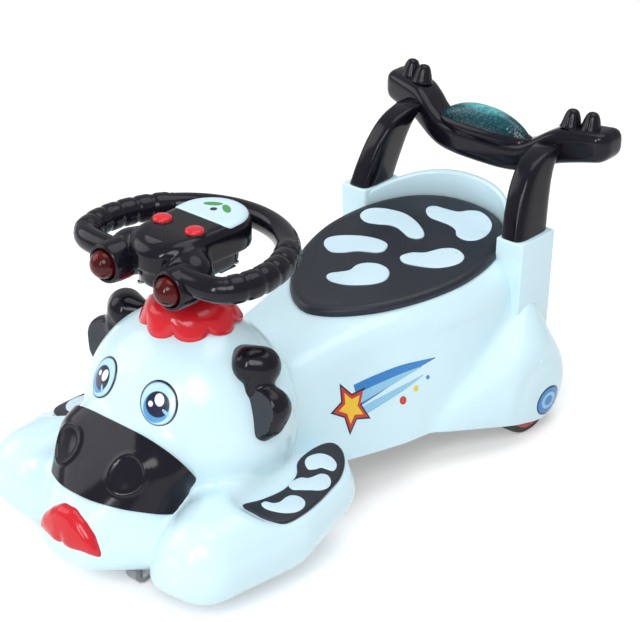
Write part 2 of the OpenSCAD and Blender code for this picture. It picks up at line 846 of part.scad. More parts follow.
module upper_shell() {
    color(pale)
    difference() {
        union() {
            difference() {
                union() {
                    shell_form(0);
                    plinth_form();
                    lip_form();
                    for (s = sides) {
                        socket_form(s);
                        difference() {
                            foot_land(s);
                            foot_pocket(s, 0);
                        }
                    }
                }
                shell_form(wall);
                translate([0, steer_y, -overrun]) cylinder(r = well_r, h = yoke_top_z + overrun, $fn = 32);
            }
            translate([0, steer_y, crown_z - crown_t]) cylinder(r = crown_r, h = crown_t, $fn = 32);
            intersection() {
                torso_form(wall / 2);
                shell_bosses(shell_boss_r, deck_z);
            }
            intersection() {
                jaw_form(wall / 2);
                for (s = sides) roller_seat(s);
            }
        }
        below(rim_z);
        translate([0, steer_y, crown_z]) cylinder(r = crown_r + crown_margin, h = head_h, $fn = 32);
        translate([0, steer_y, crown_z - head_h / 4])
            cylinder(r = housing_r + seat_gap, h = head_h / 2, $fn = 32);
        for (s = sides) {
            post_pocket(s);
            roller_slot(s);
            on_post_screw(s) cylinder(r = screw_r + seat_gap, h = post_w / 2, $fn = 14);
            on_post_screw(s) translate([0, 0, -socket_flare])
                cylinder(r = 2 * screw_r + seat_gap, h = socket_flare, $fn = 14);
        }
        shell_bosses(screw_r + seat_gap, shell_screw_l);
        translate([0, steer_y, crown_z - head_h / 4]) flange_holes(head_h / 4 - wall);
    }
}

// Screw holes through the housing's flange and into the crown
module flange_holes(h) {
    for (a = [45:90:315])
        rotate(a) translate([(housing_r + flange_r) / 2, 0, 0])
            cylinder(r = screw_r + seat_gap, h = h, $fn = 14);
}

module base_pan() {
    steps = 16;
    outline = [
        for (k = [0:steps])
            let (y = pan_front_y + k / steps * (pan_rear_y - pan_front_y))
            [torso_low_half(y) - wall - pan_clear - (pan_z - deck_z * along(torso_shares, 0.5, 3)) / 3, y]
    ];
    color(grey)
    difference() {
        union() {
            translate([0, 0, pan_z])
                linear_extrude(pan_t)
                    polygon(concat(outline, [for (k = [steps:-1:0]) [-outline[k][0], outline[k][1]]]));
            translate([-belly_w / 2, belly_y - belly_l / 2, pan_z - belly_h])
                cube([belly_w, belly_l, belly_h + pan_t]);
        }
        translate([pan_t - belly_w / 2, belly_y - belly_l / 2 + pan_t, pan_z - belly_h + pan_t])
            cube([belly_w - 2 * pan_t, belly_l - 2 * pan_t, belly_h + pan_t]);
        for (s = shell_screw_shares)
            translate([s[0] * belly_w / 2, torso_front_y + s[1] * torso_l, pan_z - overrun])
                cylinder(r = screw_r + seat_gap, h = pan_t + 2 * overrun, $fn = 24);
        bracket_holes(pan_z - overrun, pan_t + 2 * overrun, screw_r + seat_gap);
    }
}

// Places children on a nostril, with Z off the jaw
module on_nostril(side) {
    translate([side * snout_x, -snout_ahead, snout_z])
        rotate([90 - nostril_lift, 0, -side * nostril_turn])
            translate([0, 0, sqrt(pow(snout_r + muzzle_t, 2) - pow(nostril_r, 2))]) children();
}

module muzzle() {
    rim_r = muzzle_t / 2;
    color(dark)
    difference() {
        intersection() {
            union() {
                jaw_form(-muzzle_t);
                face_form(-muzzle_t);
                for (s = sides)
                    on_nostril(s)
                        ball_chain([
                            for (k = [0:nostril_steps])
                                let (a = 360 * k / nostril_steps)
                                [[nostril_r * cos(a), nostril_r * sin(a), 0], rim_r]
                        ], 8);
            }
            translate([0, -snout_ahead, muzzle_top_z]) rotate([-muzzle_back_tilt, 0, 0]) below(0);
            translate([0, -snout_ahead, muzzle_low_z]) rotate([-muzzle_low_tilt, 0, 0]) above(0);
            translate([-reach / 2, muzzle_corner - snout_ahead - reach, -reach / 2]) cube(reach);
        }
        jaw_form(-seat_gap);
        face_form(-seat_gap);
        head_form(-seat_gap);
        for (s = sides) {
            foreleg_form(s, -pass_gap);
            foot_land(s);
        }
    }
}

module tongue() {
    color(red)
    difference() {
        for (side = sides)
            ball_chain([
                for (t = tongue_shares)
                    let (r = t[2] * tongue_h, y = jaw_y - jaw_r + t[3] * jaw_r - tongue_t + r)
                    [[side * t[0] * tongue_w / 2, y, tongue_z + t[1] * tongue_h], r]
            ], 14);
        jaw_form(-seat_gap);
    }
}

module ear(side) {
    module lobe(tab)
        ball_chain([
            for (e = tab)
                [
                    [
                        side * (ear_x + e[0] * ear_lean),
                        steer_y + ear_back * e[2] + e[1] * ear_lobe_l,
                        ear_z - e[2] * ear_drop
                    ],
                    ear_r * e[3]
                ]
        ], 14);
    color(dark)
    difference() {
        union() {
            lobe(ear_root_shares);
            lobe(ear_upper_shares);
            lobe(ear_lower_shares);
        }
        head_form(-seat_gap);
    }
}

module ear_left() ear(1);
module ear_right() ear(-1);

module collar() {
    color(red)
    difference() {
        translate([0, steer_y + collar_setback, crown_z]) {
            for (k = [0:collar_lobes - 1])
                rotate(360 * k / collar_lobes)
                    hull() {
                        translate([collar_r, 0, collar_lobe_r / 2]) sphere(collar_lobe_r, $fn = 12);
                        translate([collar_r / 2, 0, collar_h - collar_lobe_r / 2])
                            sphere(collar_lobe_r / 2, $fn = 8);
                    }
            cylinder(r1 = collar_r + collar_lobe_r / 2, r2 = collar_r / 2, h = collar_h, $fn = 40);
        }
        translate([0, steer_y, crown_z - head_h / 2])
            cylinder(r = crown_r + crown_margin + seat_gap, h = head_h / 2 + seat_gap, $fn = 48);
        head_form(-seat_gap);
        translate([0, steer_y, crown_z - overrun]) cylinder(r = collar_bore_r, h = head_h, $fn = 48);
    }
}

module bean_spot(spot, size, t, grow) {
    translate([spot[0] * size, spot[1] * size, 0])
        rotate(spot[5])
            linear_extrude(t) offset(delta = grow)
                polygon(bean(spot[2] * size, spot[3] * size, spot[4], spot[6]));
}

module seat_panel() {
    color(slab)
    on_deck()
        difference() {
            translate([0, 0, seat_gap]) {
                linear_extrude(seat_base_h) polygon(seat_outline(0));
                translate([0, 0, seat_base_h]) linear_extrude(seat_step_h)
                    polygon(seat_outline(-seat_step_w));
            }
            for (s = seat_spot_shares)
                translate([0, seat_y, spot_floor]) bean_spot(s, seat_w / 2, seat_h, seat_gap);
        }
}

module seat_spots() {
    color(pale)
    on_deck()
        for (s = seat_spot_shares)
            translate([0, seat_y, spot_floor + seat_gap]) bean_spot(s, seat_w / 2, spot_t, 0);
}

module foot_panel(side) {
    color(slab)
    on_footrest(side)
        mirror([side < 0 ? 1 : 0, 0, 0])
            translate([0, 0, seat_gap])
                difference() {
                    linear_extrude(foot_panel_t) foot_outline();
                    for (s = foot_spot_shares)
                        translate([0, 0, foot_panel_t / 3])
                            bean_spot(s, foot_panel_l, foot_panel_t, seat_gap);
                }
}

module foot_panel_left() foot_panel(1);
module foot_panel_right() foot_panel(-1);

module foot_spots() {
    color(pale)
    for (side = sides)
        on_footrest(side)
            mirror([side < 0 ? 1 : 0, 0, 0])
                for (s = foot_spot_shares)
                    translate([0, 0, foot_panel_t / 3 + 2 * seat_gap])
                        bean_spot(s, foot_panel_l, foot_panel_t / 2, 0);
}

// Post's section at a share of its height, with its width and depth grown
function post_ring(side, share, grow) =
    let (
        back = post_back * along(post_table(), share, 1),
        z = socket_z + seat_gap + share * (post_top_z - socket_z),
        w = post_w / 2 * along(post_table(), share, 2) + grow,
        d = post_d / 2 * along(post_table(), share, 3) + grow
    )
    rounded_ring(side * (post_x - (post_w / 2) * share), post_y + back, z, w, d);
function post_table() = [for (p = post_shares) [p[1], p[0], p[2], p[3]]];
function rounded_ring(x, y, z, w, d) = [
    for (k = [0:post_points - 1])
        let (t = 360 * (k + 0.5) / post_points)
        [x + w * signed_power(cos(t), post_power), y + d * signed_power(sin(t), post_power), z]
];

// Post's tenon section at a height
function tenon_ring(side, z, grow) =
    rounded_ring(side * post_x, post_y, z, post_w / 2 - tenon_step + grow, post_d / 2 - tenon_step + grow);

module post_form(side, grow) {
    loft(concat(
        [tenon_ring(side, socket_z - tenon_l, grow), tenon_ring(side, socket_z + seat_gap - grow, grow)],
        [for (k = [0:post_steps]) post_ring(side, k / post_steps, grow)]
    ));
}

module post_pocket(side) {
    loft([for (z = [socket_z - tenon_l - seat_gap, socket_z + overrun]) tenon_ring(side, z, seat_gap)]);
}

// Places children at a post's screw, with Z into the tenon
module on_post_screw(side) {
    translate([side * (post_x + post_w / 2 + socket_rim), post_y, socket_z - tenon_l / 2])
        rotate([0, -side * 90, 0]) children();
}

module post(side) {
    color(dark)
    difference() {
        post_form(side, 0);
        on_post_screw(side) cylinder(r = screw_r + seat_gap, h = backrest_screw_l + seat_gap, $fn = 24);
    }
}

module post_left() post(1);
module post_right() post(-1);

function bar_height(share) = bar_mid_h + along(bar_shares, share, 2) * (pad_t - bar_mid_h);
function bar_middle(share) = bar_mid_z + along(bar_shares, share, 1) * bar_dip;
function knob_floor(k) = bar_middle(k[0]) + bar_height(k[0]) / 2 - knob_sink;

// Bar's section at a share of its half width, drawn in by inset near its ends
function bar_ring(share, inset) =
    let (
        h = bar_height(abs(share)) / 2 - inset,
        d = bar_d / 2 * along(bar_shares, abs(share), 3) - inset,
        z = bar_middle(abs(share))
    )
    [
        for (k = [0:bar_points - 1])
            let (t = 360 * (k + 0.5) / bar_points)
            [
                share * bar_w / 2,
                bar_y + d * signed_power(cos(t), bar_power),
                z + h * signed_power(sin(t), bar_power)
            ]
    ];

module bar_form() {
    end_share = 1 - 2 * bar_edge_r / bar_w;
    function end_ring(side, a) =
        bar_ring(side * (end_share + (1 - end_share) * sin(a)), bar_edge_r * (1 - cos(a)));
    loft(concat(
        [for (a = [90:-30:30]) end_ring(-1, a)],
        [for (k = [-bar_steps:bar_steps]) bar_ring(k / bar_steps * end_share, 0)],
        [for (a = [30:30:90]) end_ring(1, a)]
    ));
}

module lens_oval(grow, h) {
    scale([(lens_w / 2 + grow), (bar_d * lens_d_share + grow), h]) cylinder(r = 1, h = 1, $fn = 48);
}

module backrest_bar() {
    color(dark)
    difference() {
        bar_form();
        for (side = sides) {
            post_form(side, seat_gap);
            for (k = knob_shares)
                translate([side * k[0] * bar_w / 2, bar_y + k[1] * bar_d, knob_floor(k)])
                    cylinder(r = knob_r + seat_gap, h = knob_h, $fn = 32);
        }
        translate([0, bar_y - lens_ahead, bar_flat_z - wall]) lens_oval(seat_gap, bar_mid_h);
    }
}

module backrest_lens() {
    color([0.05, 0.5, 0.5])
    intersection() {
        translate([0, bar_y - lens_ahead, bar_flat_z - wall + seat_gap])
            scale([lens_w / 2, bar_d * lens_d_share, lens_h + wall]) sphere(1, $fn = 48);
        above(bar_flat_z - wall + seat_gap);
    }
}

module grip_knobs() {
    tip_r = knob_r * knob_tip_share;
    color([0.14, 0.13, 0.15])
    for (side = sides, k = knob_shares)
        translate([side * k[0] * bar_w / 2, bar_y + k[1] * bar_d, knob_floor(k) + seat_gap])
            scale([1, 1, k[2]]) {
                cylinder(r1 = knob_r, r2 = tip_r, h = knob_h - tip_r, $fn = 32);
                translate([0, 0, knob_h - tip_r]) sphere(tip_r, $fn = 24);
            }
}

module steering_housing() {
    color(grey)
    translate([0, steer_y, 0])
        difference() {
            union() {
                translate([0, 0, housing_low_z])
                    cylinder(r = housing_r, h = crown_z - housing_low_z, $fn = 48);
                translate([0, 0, flange_z]) cylinder(r = flange_r, h = flange_t, $fn = 48);
            }
            translate([0, 0, housing_low_z - overrun])
                cylinder(r = bush_r + seat_gap, h = crown_z - housing_low_z + 2 * overrun, $fn = 48);
            translate([0, 0, flange_z - overrun]) flange_holes(flange_t + 2 * overrun);
        }
}

module bush() {
    difference() {
        union() {
            translate([0, 0, -bush_l]) cylinder(r = bush_r, h = bush_l, $fn = 48);
            translate([0, 0, seat_gap]) cylinder(r = housing_r, h = bush_flange - seat_gap, $fn = 48);
            cylinder(r = bush_r, h = bush_flange, $fn = 48);
        }
        translate([0, 0, -bush_l - overrun])
            cylinder(r = column_r + run_fit, h = bush_l + bush_flange + 2 * overrun, $fn = 48);
    }
}

module upper_bush() color([0.9, 0.9, 0.88]) translate([0, steer_y, crown_z]) bush();
module lower_bush() color([0.9, 0.9, 0.88]) translate([0, steer_y, housing_low_z]) rotate([180, 0, 0]) bush();

// Rod along X through a place
module cross_rod(y, z, r, l) {
    translate([-l / 2, y, z]) rotate([0, 90, 0]) cylinder(r = r, h = l, $fn = 40);
}

rear_axle_l = 2 * (rear_wheel_x + rear_wheel_w / 2 + cap_l / 2 + side_gap);
front_axle_l = 2 * (front_out_x + cap_l / 2 + side_gap);

module rear_axle() color(steel) cross_rod(rear_axle_y, rear_wheel_r, axle_r, rear_axle_l);

module bracket_holes(z, h, r) {
    for (s = sides, t = sides)
        translate([s * bracket_x, rear_axle_y + t * (bracket_d / 2 - 2 * screw_r), z])
            cylinder(r = r, h = h, $fn = 24);
}

module rear_brackets() {
    low = rear_wheel_r - axle_r - bracket_low;
    color(grey)
    difference() {
        for (s = sides)
            translate([s * bracket_x - bracket_w / 2, rear_axle_y - bracket_d / 2, low])
                cube([bracket_w, bracket_d, pan_z - seat_gap - low]);
        cross_rod(rear_axle_y, rear_wheel_r, axle_r + run_fit, rear_axle_l);
        bracket_holes(low - overrun, 2 * pan_z, screw_r + seat_gap);
    }
}

module axle_spacers() {
    l = rear_wheel_x - rear_wheel_w / 2 - side_gap - bracket_x - bracket_w / 2 - seat_gap;
    color([0.85, 0.85, 0.83])
    for (s = sides)
        translate([s * (bracket_x + bracket_w / 2 + seat_gap + l / 2), 0, 0])
            difference() {
                cross_rod(rear_axle_y, rear_wheel_r, hub_boss_r - wall, l);
                cross_rod(rear_axle_y, rear_wheel_r, axle_r + run_fit, l + 2 * overrun);
            }
}

// End cap on an axle at +X or -X
module axle_cap(side, face_x, y, z, half_l) {
    difference() {
        translate([side * (face_x + cap_l / 2), 0, 0]) cross_rod(y, z, cap_r, cap_l);
        cross_rod(y, z, axle_r + run_fit, 2 * half_l + 2 * seat_gap);
    }
}

module rear_caps() {
    color([0.8, 0.1, 0.12])
    for (s = sides)
        axle_cap(s, rear_wheel_x + rear_wheel_w / 2 + side_gap, rear_axle_y, rear_wheel_r, rear_axle_l / 2);
}

module roller_brackets() {
    inner = roller_w / 2 + pass_gap;
    cheek_low = roller_z - roller_pin_r - cheek_t;
    color([0.3, 0.3, 0.32])
    difference() {
        for (s = sides)
            translate([s * roller_x, roller_y, 0]) {
                translate([-roller_flange_w / 2, -roller_flange_d / 2, roller_flange_z])
                    cube([roller_flange_w, roller_flange_d, cheek_t]);
                for (t = sides)
                    translate([t * (inner + cheek_t / 2) - cheek_t / 2, -roller_r / 2, cheek_low])
                        cube([cheek_t, roller_r, roller_flange_z + cheek_t - cheek_low]);
            }
        cross_rod(roller_y, roller_z, roller_pin_r + run_fit, reach / 4);
    }
}

roller_pin_l = roller_w + 2 * pass_gap + 2 * cheek_t;

module roller_pins() {
    color(steel)
    for (s = sides) translate([s * roller_x, 0, 0]) cross_rod(roller_y, roller_z, roller_pin_r, roller_pin_l);
}

module roller(side) {
    color([0.6, 0.62, 0.63])
    difference() {
        translate([side * roller_x, 0, 0]) cross_rod(roller_y, roller_z, roller_r, roller_w);
        translate([side * roller_x, 0, 0])
            cross_rod(roller_y, roller_z, roller_pin_r + run_fit, roller_w + 2 * overrun);
    }
}

module roller_left() roller(1);
module roller_right() roller(-1);

module shell_screws() {
    color(zinc)
    for (s = shell_screw_shares)
        translate([s[0] * belly_w / 2, torso_front_y + s[1] * torso_l, pan_z]) screw(shell_screw_l);
}

module bracket_screws() {
    low = rear_wheel_r - axle_r - bracket_low;
    color(zinc)
    for (s = sides, t = sides)
        translate([s * bracket_x, rear_axle_y + t * (bracket_d / 2 - 2 * screw_r), low])
            screw(pan_z + pan_t - low);
}

module housing_screws() {
    color(zinc)
    translate([0, steer_y, flange_z])
        for (a = [45:90:315])
            rotate(a) translate([(housing_r + flange_r) / 2, 0, 0]) screw(flange_t + crown_t - wall);
}

module steering_column() {
    color(steel)
    difference() {
        translate([0, steer_y, column_low_z])
            cylinder(r = column_r, h = column_top_z - column_low_z, $fn = 48);
        translate([0, steer_y, column_low_z - overrun])
            cylinder(r = column_r - column_wall, h = column_top_z - column_low_z + 2 * overrun, $fn = 48);
        cross_rod(steer_y, bolt_z, bolt_r + run_fit, 4 * column_r);
    }
}

module column_clip() {
    color([0.6, 0.6, 0.62])
    translate([0, steer_y, crown_z + bush_flange + pass_gap])
        difference() {
            cylinder(r = column_r + 2 * clip_t, h = clip_t, $fn = 48);
            translate([0, 0, -overrun]) cylinder(r = column_r + run_fit, h = clip_t + 2 * overrun, $fn = 48);
        }
}

module front_yoke() {
    color(grey)
    difference() {
        union() {
            translate([0, steer_y, yoke_low_z]) cylinder(r = yoke_r, h = yoke_top_z - yoke_low_z, $fn = 48);
            translate([-arm_w / 2, 0, 0])
                rotate([90, 0, 90])
                    linear_extrude(arm_w)
                        polygon([
                            [front_axle_y - arm_boss_r, front_wheel_r - arm_boss_r],
                            [front_axle_y + arm_boss_r, front_wheel_r - arm_boss_r],
                            [steer_y + arm_boss_r, yoke_low_z],
                            [steer_y + arm_boss_r, yoke_top_z - arm_boss_r],
                            [steer_y - yoke_r, yoke_top_z - arm_boss_r],
                            [front_axle_y - arm_boss_r, front_wheel_r + arm_boss_r]
                        ]);
        }
        translate([0, steer_y, column_low_z - seat_gap])
            cylinder(r = column_r + run_fit, h = yoke_top_z, $fn = 48);
        cross_rod(front_axle_y, front_wheel_r, axle_r + run_fit, 2 * arm_w);
    }
}

module front_axle() color(steel) cross_rod(front_axle_y, front_wheel_r, axle_r, front_axle_l);

module front_caps() {
    color([0.3, 0.3, 0.32])
    for (s = sides) axle_cap(s, front_out_x + side_gap, front_axle_y, front_wheel_r, front_axle_l / 2);
}

// Wheel centre with its rim, web and bored boss, on an axle along X
module wheel_hub(x, y, r, w) {
    rim_r = r - tyre_t;
    translate([x, y, r])
        rotate([0, 90, 0])
            rotate_extrude($fn = 72)
                polygon([
                    [axle_r + run_fit, -w / 2], [hub_boss_r, -w / 2], [hub_boss_r, -hub_web_t / 2],
                    [rim_r - rim_t, -hub_web_t / 2], [rim_r - rim_t, -w / 2], [rim_r, -w / 2], [rim_r, w / 2],
                    [rim_r - rim_t, w / 2], [rim_r - rim_t, hub_web_t / 2], [hub_boss_r, hub_web_t / 2],
                    [hub_boss_r, w / 2], [axle_r + run_fit, w / 2]
                ]);
}

module wheel_tyre(x, y, r, w) {
    in_r = r - tyre_t + seat_gap / 2;
    translate([x, y, r])
        rotate([0, 90, 0])
            rotate_extrude($fn = 72)
                polygon([
                    [in_r, -w / 2], [r - tyre_edge, -w / 2], [r - tyre_edge / 4, tyre_edge * 3 / 4 - w / 2],
                    [r, 2 * tyre_edge - w / 2], [r, w / 2 - 2 * tyre_edge],
                    [r - tyre_edge / 4, w / 2 - tyre_edge * 3 / 4], [r - tyre_edge, w / 2], [in_r, w / 2]
                ]);
}

module front_hub_left() color(hub_red) wheel_hub(front_wheel_x, front_axle_y, front_wheel_r, front_wheel_w);
module front_hub_right() color(hub_red) wheel_hub(-front_wheel_x, front_axle_y, front_wheel_r, front_wheel_w);
module front_tyre_left() color(tyre_black)
    wheel_tyre(front_wheel_x, front_axle_y, front_wheel_r, front_wheel_w);
module front_tyre_right() color(tyre_black)
    wheel_tyre(-front_wheel_x, front_axle_y, front_wheel_r, front_wheel_w);
module rear_hub_left() color(hub_red) wheel_hub(rear_wheel_x, rear_axle_y, rear_wheel_r, rear_wheel_w);
module rear_hub_right() color(hub_red) wheel_hub(-rear_wheel_x, rear_axle_y, rear_wheel_r, rear_wheel_w);
module rear_tyre_left() color(tyre_black) wheel_tyre(rear_wheel_x, rear_axle_y, rear_wheel_r, rear_wheel_w);
module rear_tyre_right() color(tyre_black) wheel_tyre(-rear_wheel_x, rear_axle_y, rear_wheel_r, rear_wheel_w);

// Steering ring, open at the front, with its grip bands
module ring_form() {
    sweep_angle = 360 - 2 * ring_gap_angle;
    translate([0, steer_y, ring_z]) {
        rotate(ring_gap_angle - 90)
            rotate_extrude(angle = sweep_angle, $fn = 48) translate([ring_r, 0])
                circle(ring_tube_r, $fn = 14);
        for (s = sides, k = [0:band_count - 1])
            rotate(90 + s * (band_mid_angle + band_pitch * (k - band_count / 2)) - band_angle / 2)
                rotate_extrude(angle = band_angle, $fn = 72)
                    translate([ring_r, 0]) circle(ring_tube_r + band_h, $fn = 14);
    }
}

module hood_solid(side) {
    translate([side * lamp_x, lamp_y + hood_l, lamp_z]) rotate([90, 0, 0])
        cylinder(r = hood_r, h = hood_l, $fn = 40);
}

module hood_bore(side) {
    translate([side * lamp_x, lamp_y + hood_bore_l, lamp_z])
        rotate([90, 0, 0]) cylinder(r = lamp_r + seat_gap, h = hood_bore_l + overrun, $fn = 40);
}

// End of the ring and the point inside the hood that it is joined to
function ring_end(side) =
    let (a = ring_gap_angle + ring_end_angle)
    [side * ring_r * sin(a), steer_y - ring_r * cos(a), ring_z];
function hood_joint(side) = [side * lamp_x, lamp_y + hood_r * hood_joint_share, ring_z];

module stub_rod(side) {
    a = ring_end(side);
    b = hood_joint(side);
    d = b - a;
    translate(a) rotate([0, 90, atan2(d[1], d[0])]) cylinder(r = stub_r, h = norm(d), $fn = 32);
}

// Upright oval prism round the hub's two centres
module hub_oval(r, z, h, rear_y) {
    for (y = [hub_front_y, rear_y]) translate([0, y, z]) cylinder(r = r, h = h, $fn = 48);
    translate([-r, hub_front_y, z]) cube([2 * r, rear_y - hub_front_y, h]);
}

module hub_dome(inset) {
    for (ys = [[hub_front_y, (hub_front_y + hub_rear_y) / 2], [(hub_front_y + hub_rear_y) / 2, hub_rear_y]])
        hull()
            for (y = ys)
                translate([0, y, 0]) {
                    translate([0, 0, ring_z - tray_h / 4]) cylinder(r = hub_r - inset, h = wall, $fn = 32);
                    translate([0, 0, dome_z - hub_edge_r])
                        rotate_extrude($fn = 32)
                            translate([hub_r - hub_edge_r, 0]) circle(hub_edge_r - inset, $fn = 16);
                }
}

function wheel_post_at(s) = [s[0] * tray_r, (s[1] < 0 ? hub_front_y : tray_rear_y) + s[1] * tray_r, 0];

module wheel_posts(r, z, h) {
    for (s = wheel_post_shares) translate(wheel_post_at(s) + [0, 0, z]) cylinder(r = r, h = h, $fn = 24);
}

// Fairing that blends a lamp hood into the dome
module brow(side) {
    hull() {
        translate([side * lamp_x, lamp_y + hood_l, lamp_z]) rotate([90, 0, 0])
            cylinder(r = hood_r, h = hood_l, $fn = 32);
        translate([side * hub_r / 2, steer_y - hub_ahead / 2, ring_z])
            sphere(hub_dome_h - hood_wall, $fn = 24);
    }
}

module stub_cap(side) {
    hull() {
        translate(ring_end(side)) sphere(ring_tube_r, $fn = 20);
        translate(hood_joint(side)) sphere(ring_tube_r, $fn = 20);
    }
}

module panel_plate(grow, t) {
    intersection() {
        linear_extrude(t)
            polygon(round_outline([
                [-panel_x - grow, panel_front_y - grow], [panel_x + grow, panel_front_y - grow],
                [panel_x + grow, hub_rear_y], [0, hub_rear_y + panel_x + grow], [-panel_x - grow, hub_rear_y]
            ], 6));
        translate([-reach / 2, panel_front_y - grow, -overrun]) cube(reach);
    }
}

module wheel_upper() {
    post_low = board_z + board_t + seat_gap;
    color(dark)
    difference() {
        union() {
            difference() {
                union() {
                    ring_form();
                    hub_dome(0);
                    for (s = sides) {
                        brow(s);
                        stub_cap(s);
                    }
                }
                hub_dome(wheel_wall);
            }
            intersection() {
                hub_dome(wheel_wall / 2);
                wheel_posts(post_boss_r, ring_z, 2 * hub_dome_h);
            }
            for (y = sides)
                translate([0, steer_y + y * board_d / 4, post_low])
                    cylinder(r = 2 * screw_r, h = dome_z - wheel_wall / 2 - post_low, $fn = 20);
        }
        below(ring_z + seat_gap / 2);
        for (s = sides) {
            hood_bore(s);
            translate([s * button_pitch / 2, steer_y, ring_z])
                cylinder(r = button_r + pass_gap, h = reach / 4, $fn = 40);
        }
        translate([0, 0, dome_z - panel_t]) panel_plate(seat_gap, reach / 4);
        for (x = [-2:2], y = [-2:2])
            translate([x * 4 * hole_r, speaker_y + y * 4 * hole_r, ring_z])
                cylinder(r = hole_r, h = reach / 4, $fn = 6);
        wheel_posts(screw_r + seat_gap, ring_z, hub_dome_h / 2);
    }
}

module wheel_lower() {
    color(dark)
    difference() {
        union() {
            difference() {
                union() {
                    ring_form();
                    for (s = sides) {
                        hood_solid(s);
                        stub_rod(s);
                    }
                }
                above(ring_z);
                hub_oval(tray_r - wheel_wall, tray_low_z + wheel_wall, reach / 4, tray_rear_y);
            }
            difference() {
                union() {
                    hub_oval(tray_r, tray_low_z, tray_h, tray_rear_y);
                    hub_oval(hub_r, ring_z - wheel_wall, wheel_wall, hub_rear_y);
                }
                hub_oval(tray_r - wheel_wall, tray_low_z + wheel_wall, reach / 4, tray_rear_y);
            }
            translate([0, steer_y, hub_low_z])
                cylinder(r1 = cone_low_r, r2 = cone_top_r, h = cone_h, $fn = 48);
            translate([0, steer_y, tray_low_z]) cylinder(r = boss_r, h = boss_top_z - tray_low_z, $fn = 48);
            wheel_posts(post_boss_r, tray_low_z + wheel_wall / 2, tray_h - wheel_wall / 2);
        }
        for (s = sides) hood_bore(s);
        translate([0, steer_y, hub_low_z - overrun])
            cylinder(r = column_r + run_fit, h = column_top_z + seat_gap - hub_low_z + overrun, $fn = 48);
        cross_rod(steer_y, bolt_z, bolt_r + run_fit, 3 * boss_r);
        wheel_posts(screw_r + seat_gap, tray_low_z - overrun, tray_h + 2 * overrun);
        translate([-cover_w / 2 + wall, cover_y - cover_d / 2 + wall, tray_low_z - overrun])
            cube([cover_w - 2 * wall, cover_d - 2 * wall, wheel_wall + 2 * overrun]);
    }
}

module hub_panel() {
    color(pale) translate([0, 0, dome_z - panel_t + seat_gap]) panel_plate(0, panel_t);
}

module lamp_lenses() {
    color([0.4, 0.06, 0.06])
    for (s = sides)
        translate([s * lamp_x, lamp_y, lamp_z]) {
            difference() {
                sphere(lamp_r, $fn = 40);
                sphere(lamp_r - wheel_wall, $fn = 40);
                translate([-reach / 2, 0, -reach / 2]) cube(reach);
            }
            rotate([-90, 0, 0])
                difference() {
                    cylinder(r = lamp_r, h = hood_bore_l / 3, $fn = 40);
                    translate([0, 0, -overrun]) cylinder(r = lamp_r - wheel_wall, h = hood_bore_l, $fn = 40);
                }
        }
}

module lamp_leds() {
    color([0.9, 0.85, 0.8])
    for (s = sides)
        translate([s * lamp_x, lamp_y + hood_bore_l, lamp_z])
            rotate([90, 0, 0]) {
                cylinder(r = led_r, h = hood_bore_l / 3, $fn = 24);
                cylinder(r = 2 * led_r, h = led_r, $fn = 24);
            }
}

module speaker() {
    color([0.3, 0.3, 0.32])
    translate([0, speaker_y, dome_under_z - seat_gap - speaker_h]) {
        cylinder(r = speaker_r * 2 / 3, h = speaker_h, $fn = 40);
        translate([0, 0, speaker_h / 2]) cylinder(r = speaker_r, h = speaker_h / 2, $fn = 40);
    }
}

module circuit_board() {
    color([0.1, 0.4, 0.2])
    translate([-board_w / 2, steer_y - board_d / 2, board_z]) cube([board_w, board_d, board_t]);
}

module switches() {
    color([0.12, 0.12, 0.13])
    for (s = sides)
        translate([s * button_pitch / 2 - switch_h, steer_y - switch_h, board_z + board_t])
            cube([2 * switch_h, 2 * switch_h, switch_h]);
}

module batteries() {
    color([0.75, 0.6, 0.3])
    for (s = sides)
        cross_rod(battery_y + s * (battery_r + seat_gap), battery_z, battery_r, battery_l);
}

module battery_cover() {
    color(grey)
    translate([-cover_w / 2, cover_y - cover_d / 2, tray_low_z - cover_t - seat_gap])
        cube([cover_w, cover_d, cover_t]);
}

module wheel_screws() {
    color(zinc)
    for (s = wheel_post_shares) translate(wheel_post_at(s) + [0, 0, tray_low_z])
        screw(tray_h + hub_dome_h / 3);
}

module column_bolt() {
    color(zinc) {
        cross_rod(steer_y, bolt_z, bolt_r, bolt_l);
        for (s = sides)
            translate([s * (boss_r + seat_gap + bolt_r / 2), 0, 0])
                cross_rod(steer_y, bolt_z, bolt_head_share * bolt_r, bolt_r);
    }
}

module button(side) {
    color([0.8, 0.1, 0.12])
    translate([side * button_pitch / 2, steer_y, button_low_z]) {
        cylinder(r = button_r, h = dome_z + button_h - button_low_z, $fn = 40);
        translate([-button_r / 2, -button_r - flange_lip, button_stem])
            cube([button_r, 2 * (button_r + flange_lip), button_flange_t]);
    }
}

module button_left() button(1);
module button_right() button(-1);

module backrest_screws() {
    color(zinc)
    for (s = sides) on_post_screw(s) screw(backrest_screw_l);
}

upper_shell();
base_pan();
muzzle();
tongue();
ear_left();
ear_right();
collar();
seat_panel();
seat_spots();
foot_panel_left();
foot_panel_right();
foot_spots();
post_left();
post_right();
backrest_bar();
backrest_lens();
grip_knobs();
steering_housing();
upper_bush();
lower_bush();
rear_axle();
rear_brackets();
axle_spacers();
rear_caps();
roller_brackets();
roller_pins();
shell_screws();
backrest_screws();
bracket_screws();
housing_screws();
steering_column();
column_clip();
front_yoke();
front_axle();
front_caps();
wheel_upper();
wheel_lower();
hub_panel();
lamp_lenses();
lamp_leds();
speaker();
circuit_board();
switches();
batteries();
battery_cover();
wheel_screws();
column_bolt();
front_hub_left();
front_tyre_left();
front_hub_right();
front_tyre_right();
rear_hub_left();
rear_tyre_left();
rear_hub_right();
rear_tyre_right();
roller_left();
roller_right();
button_left();
button_right();
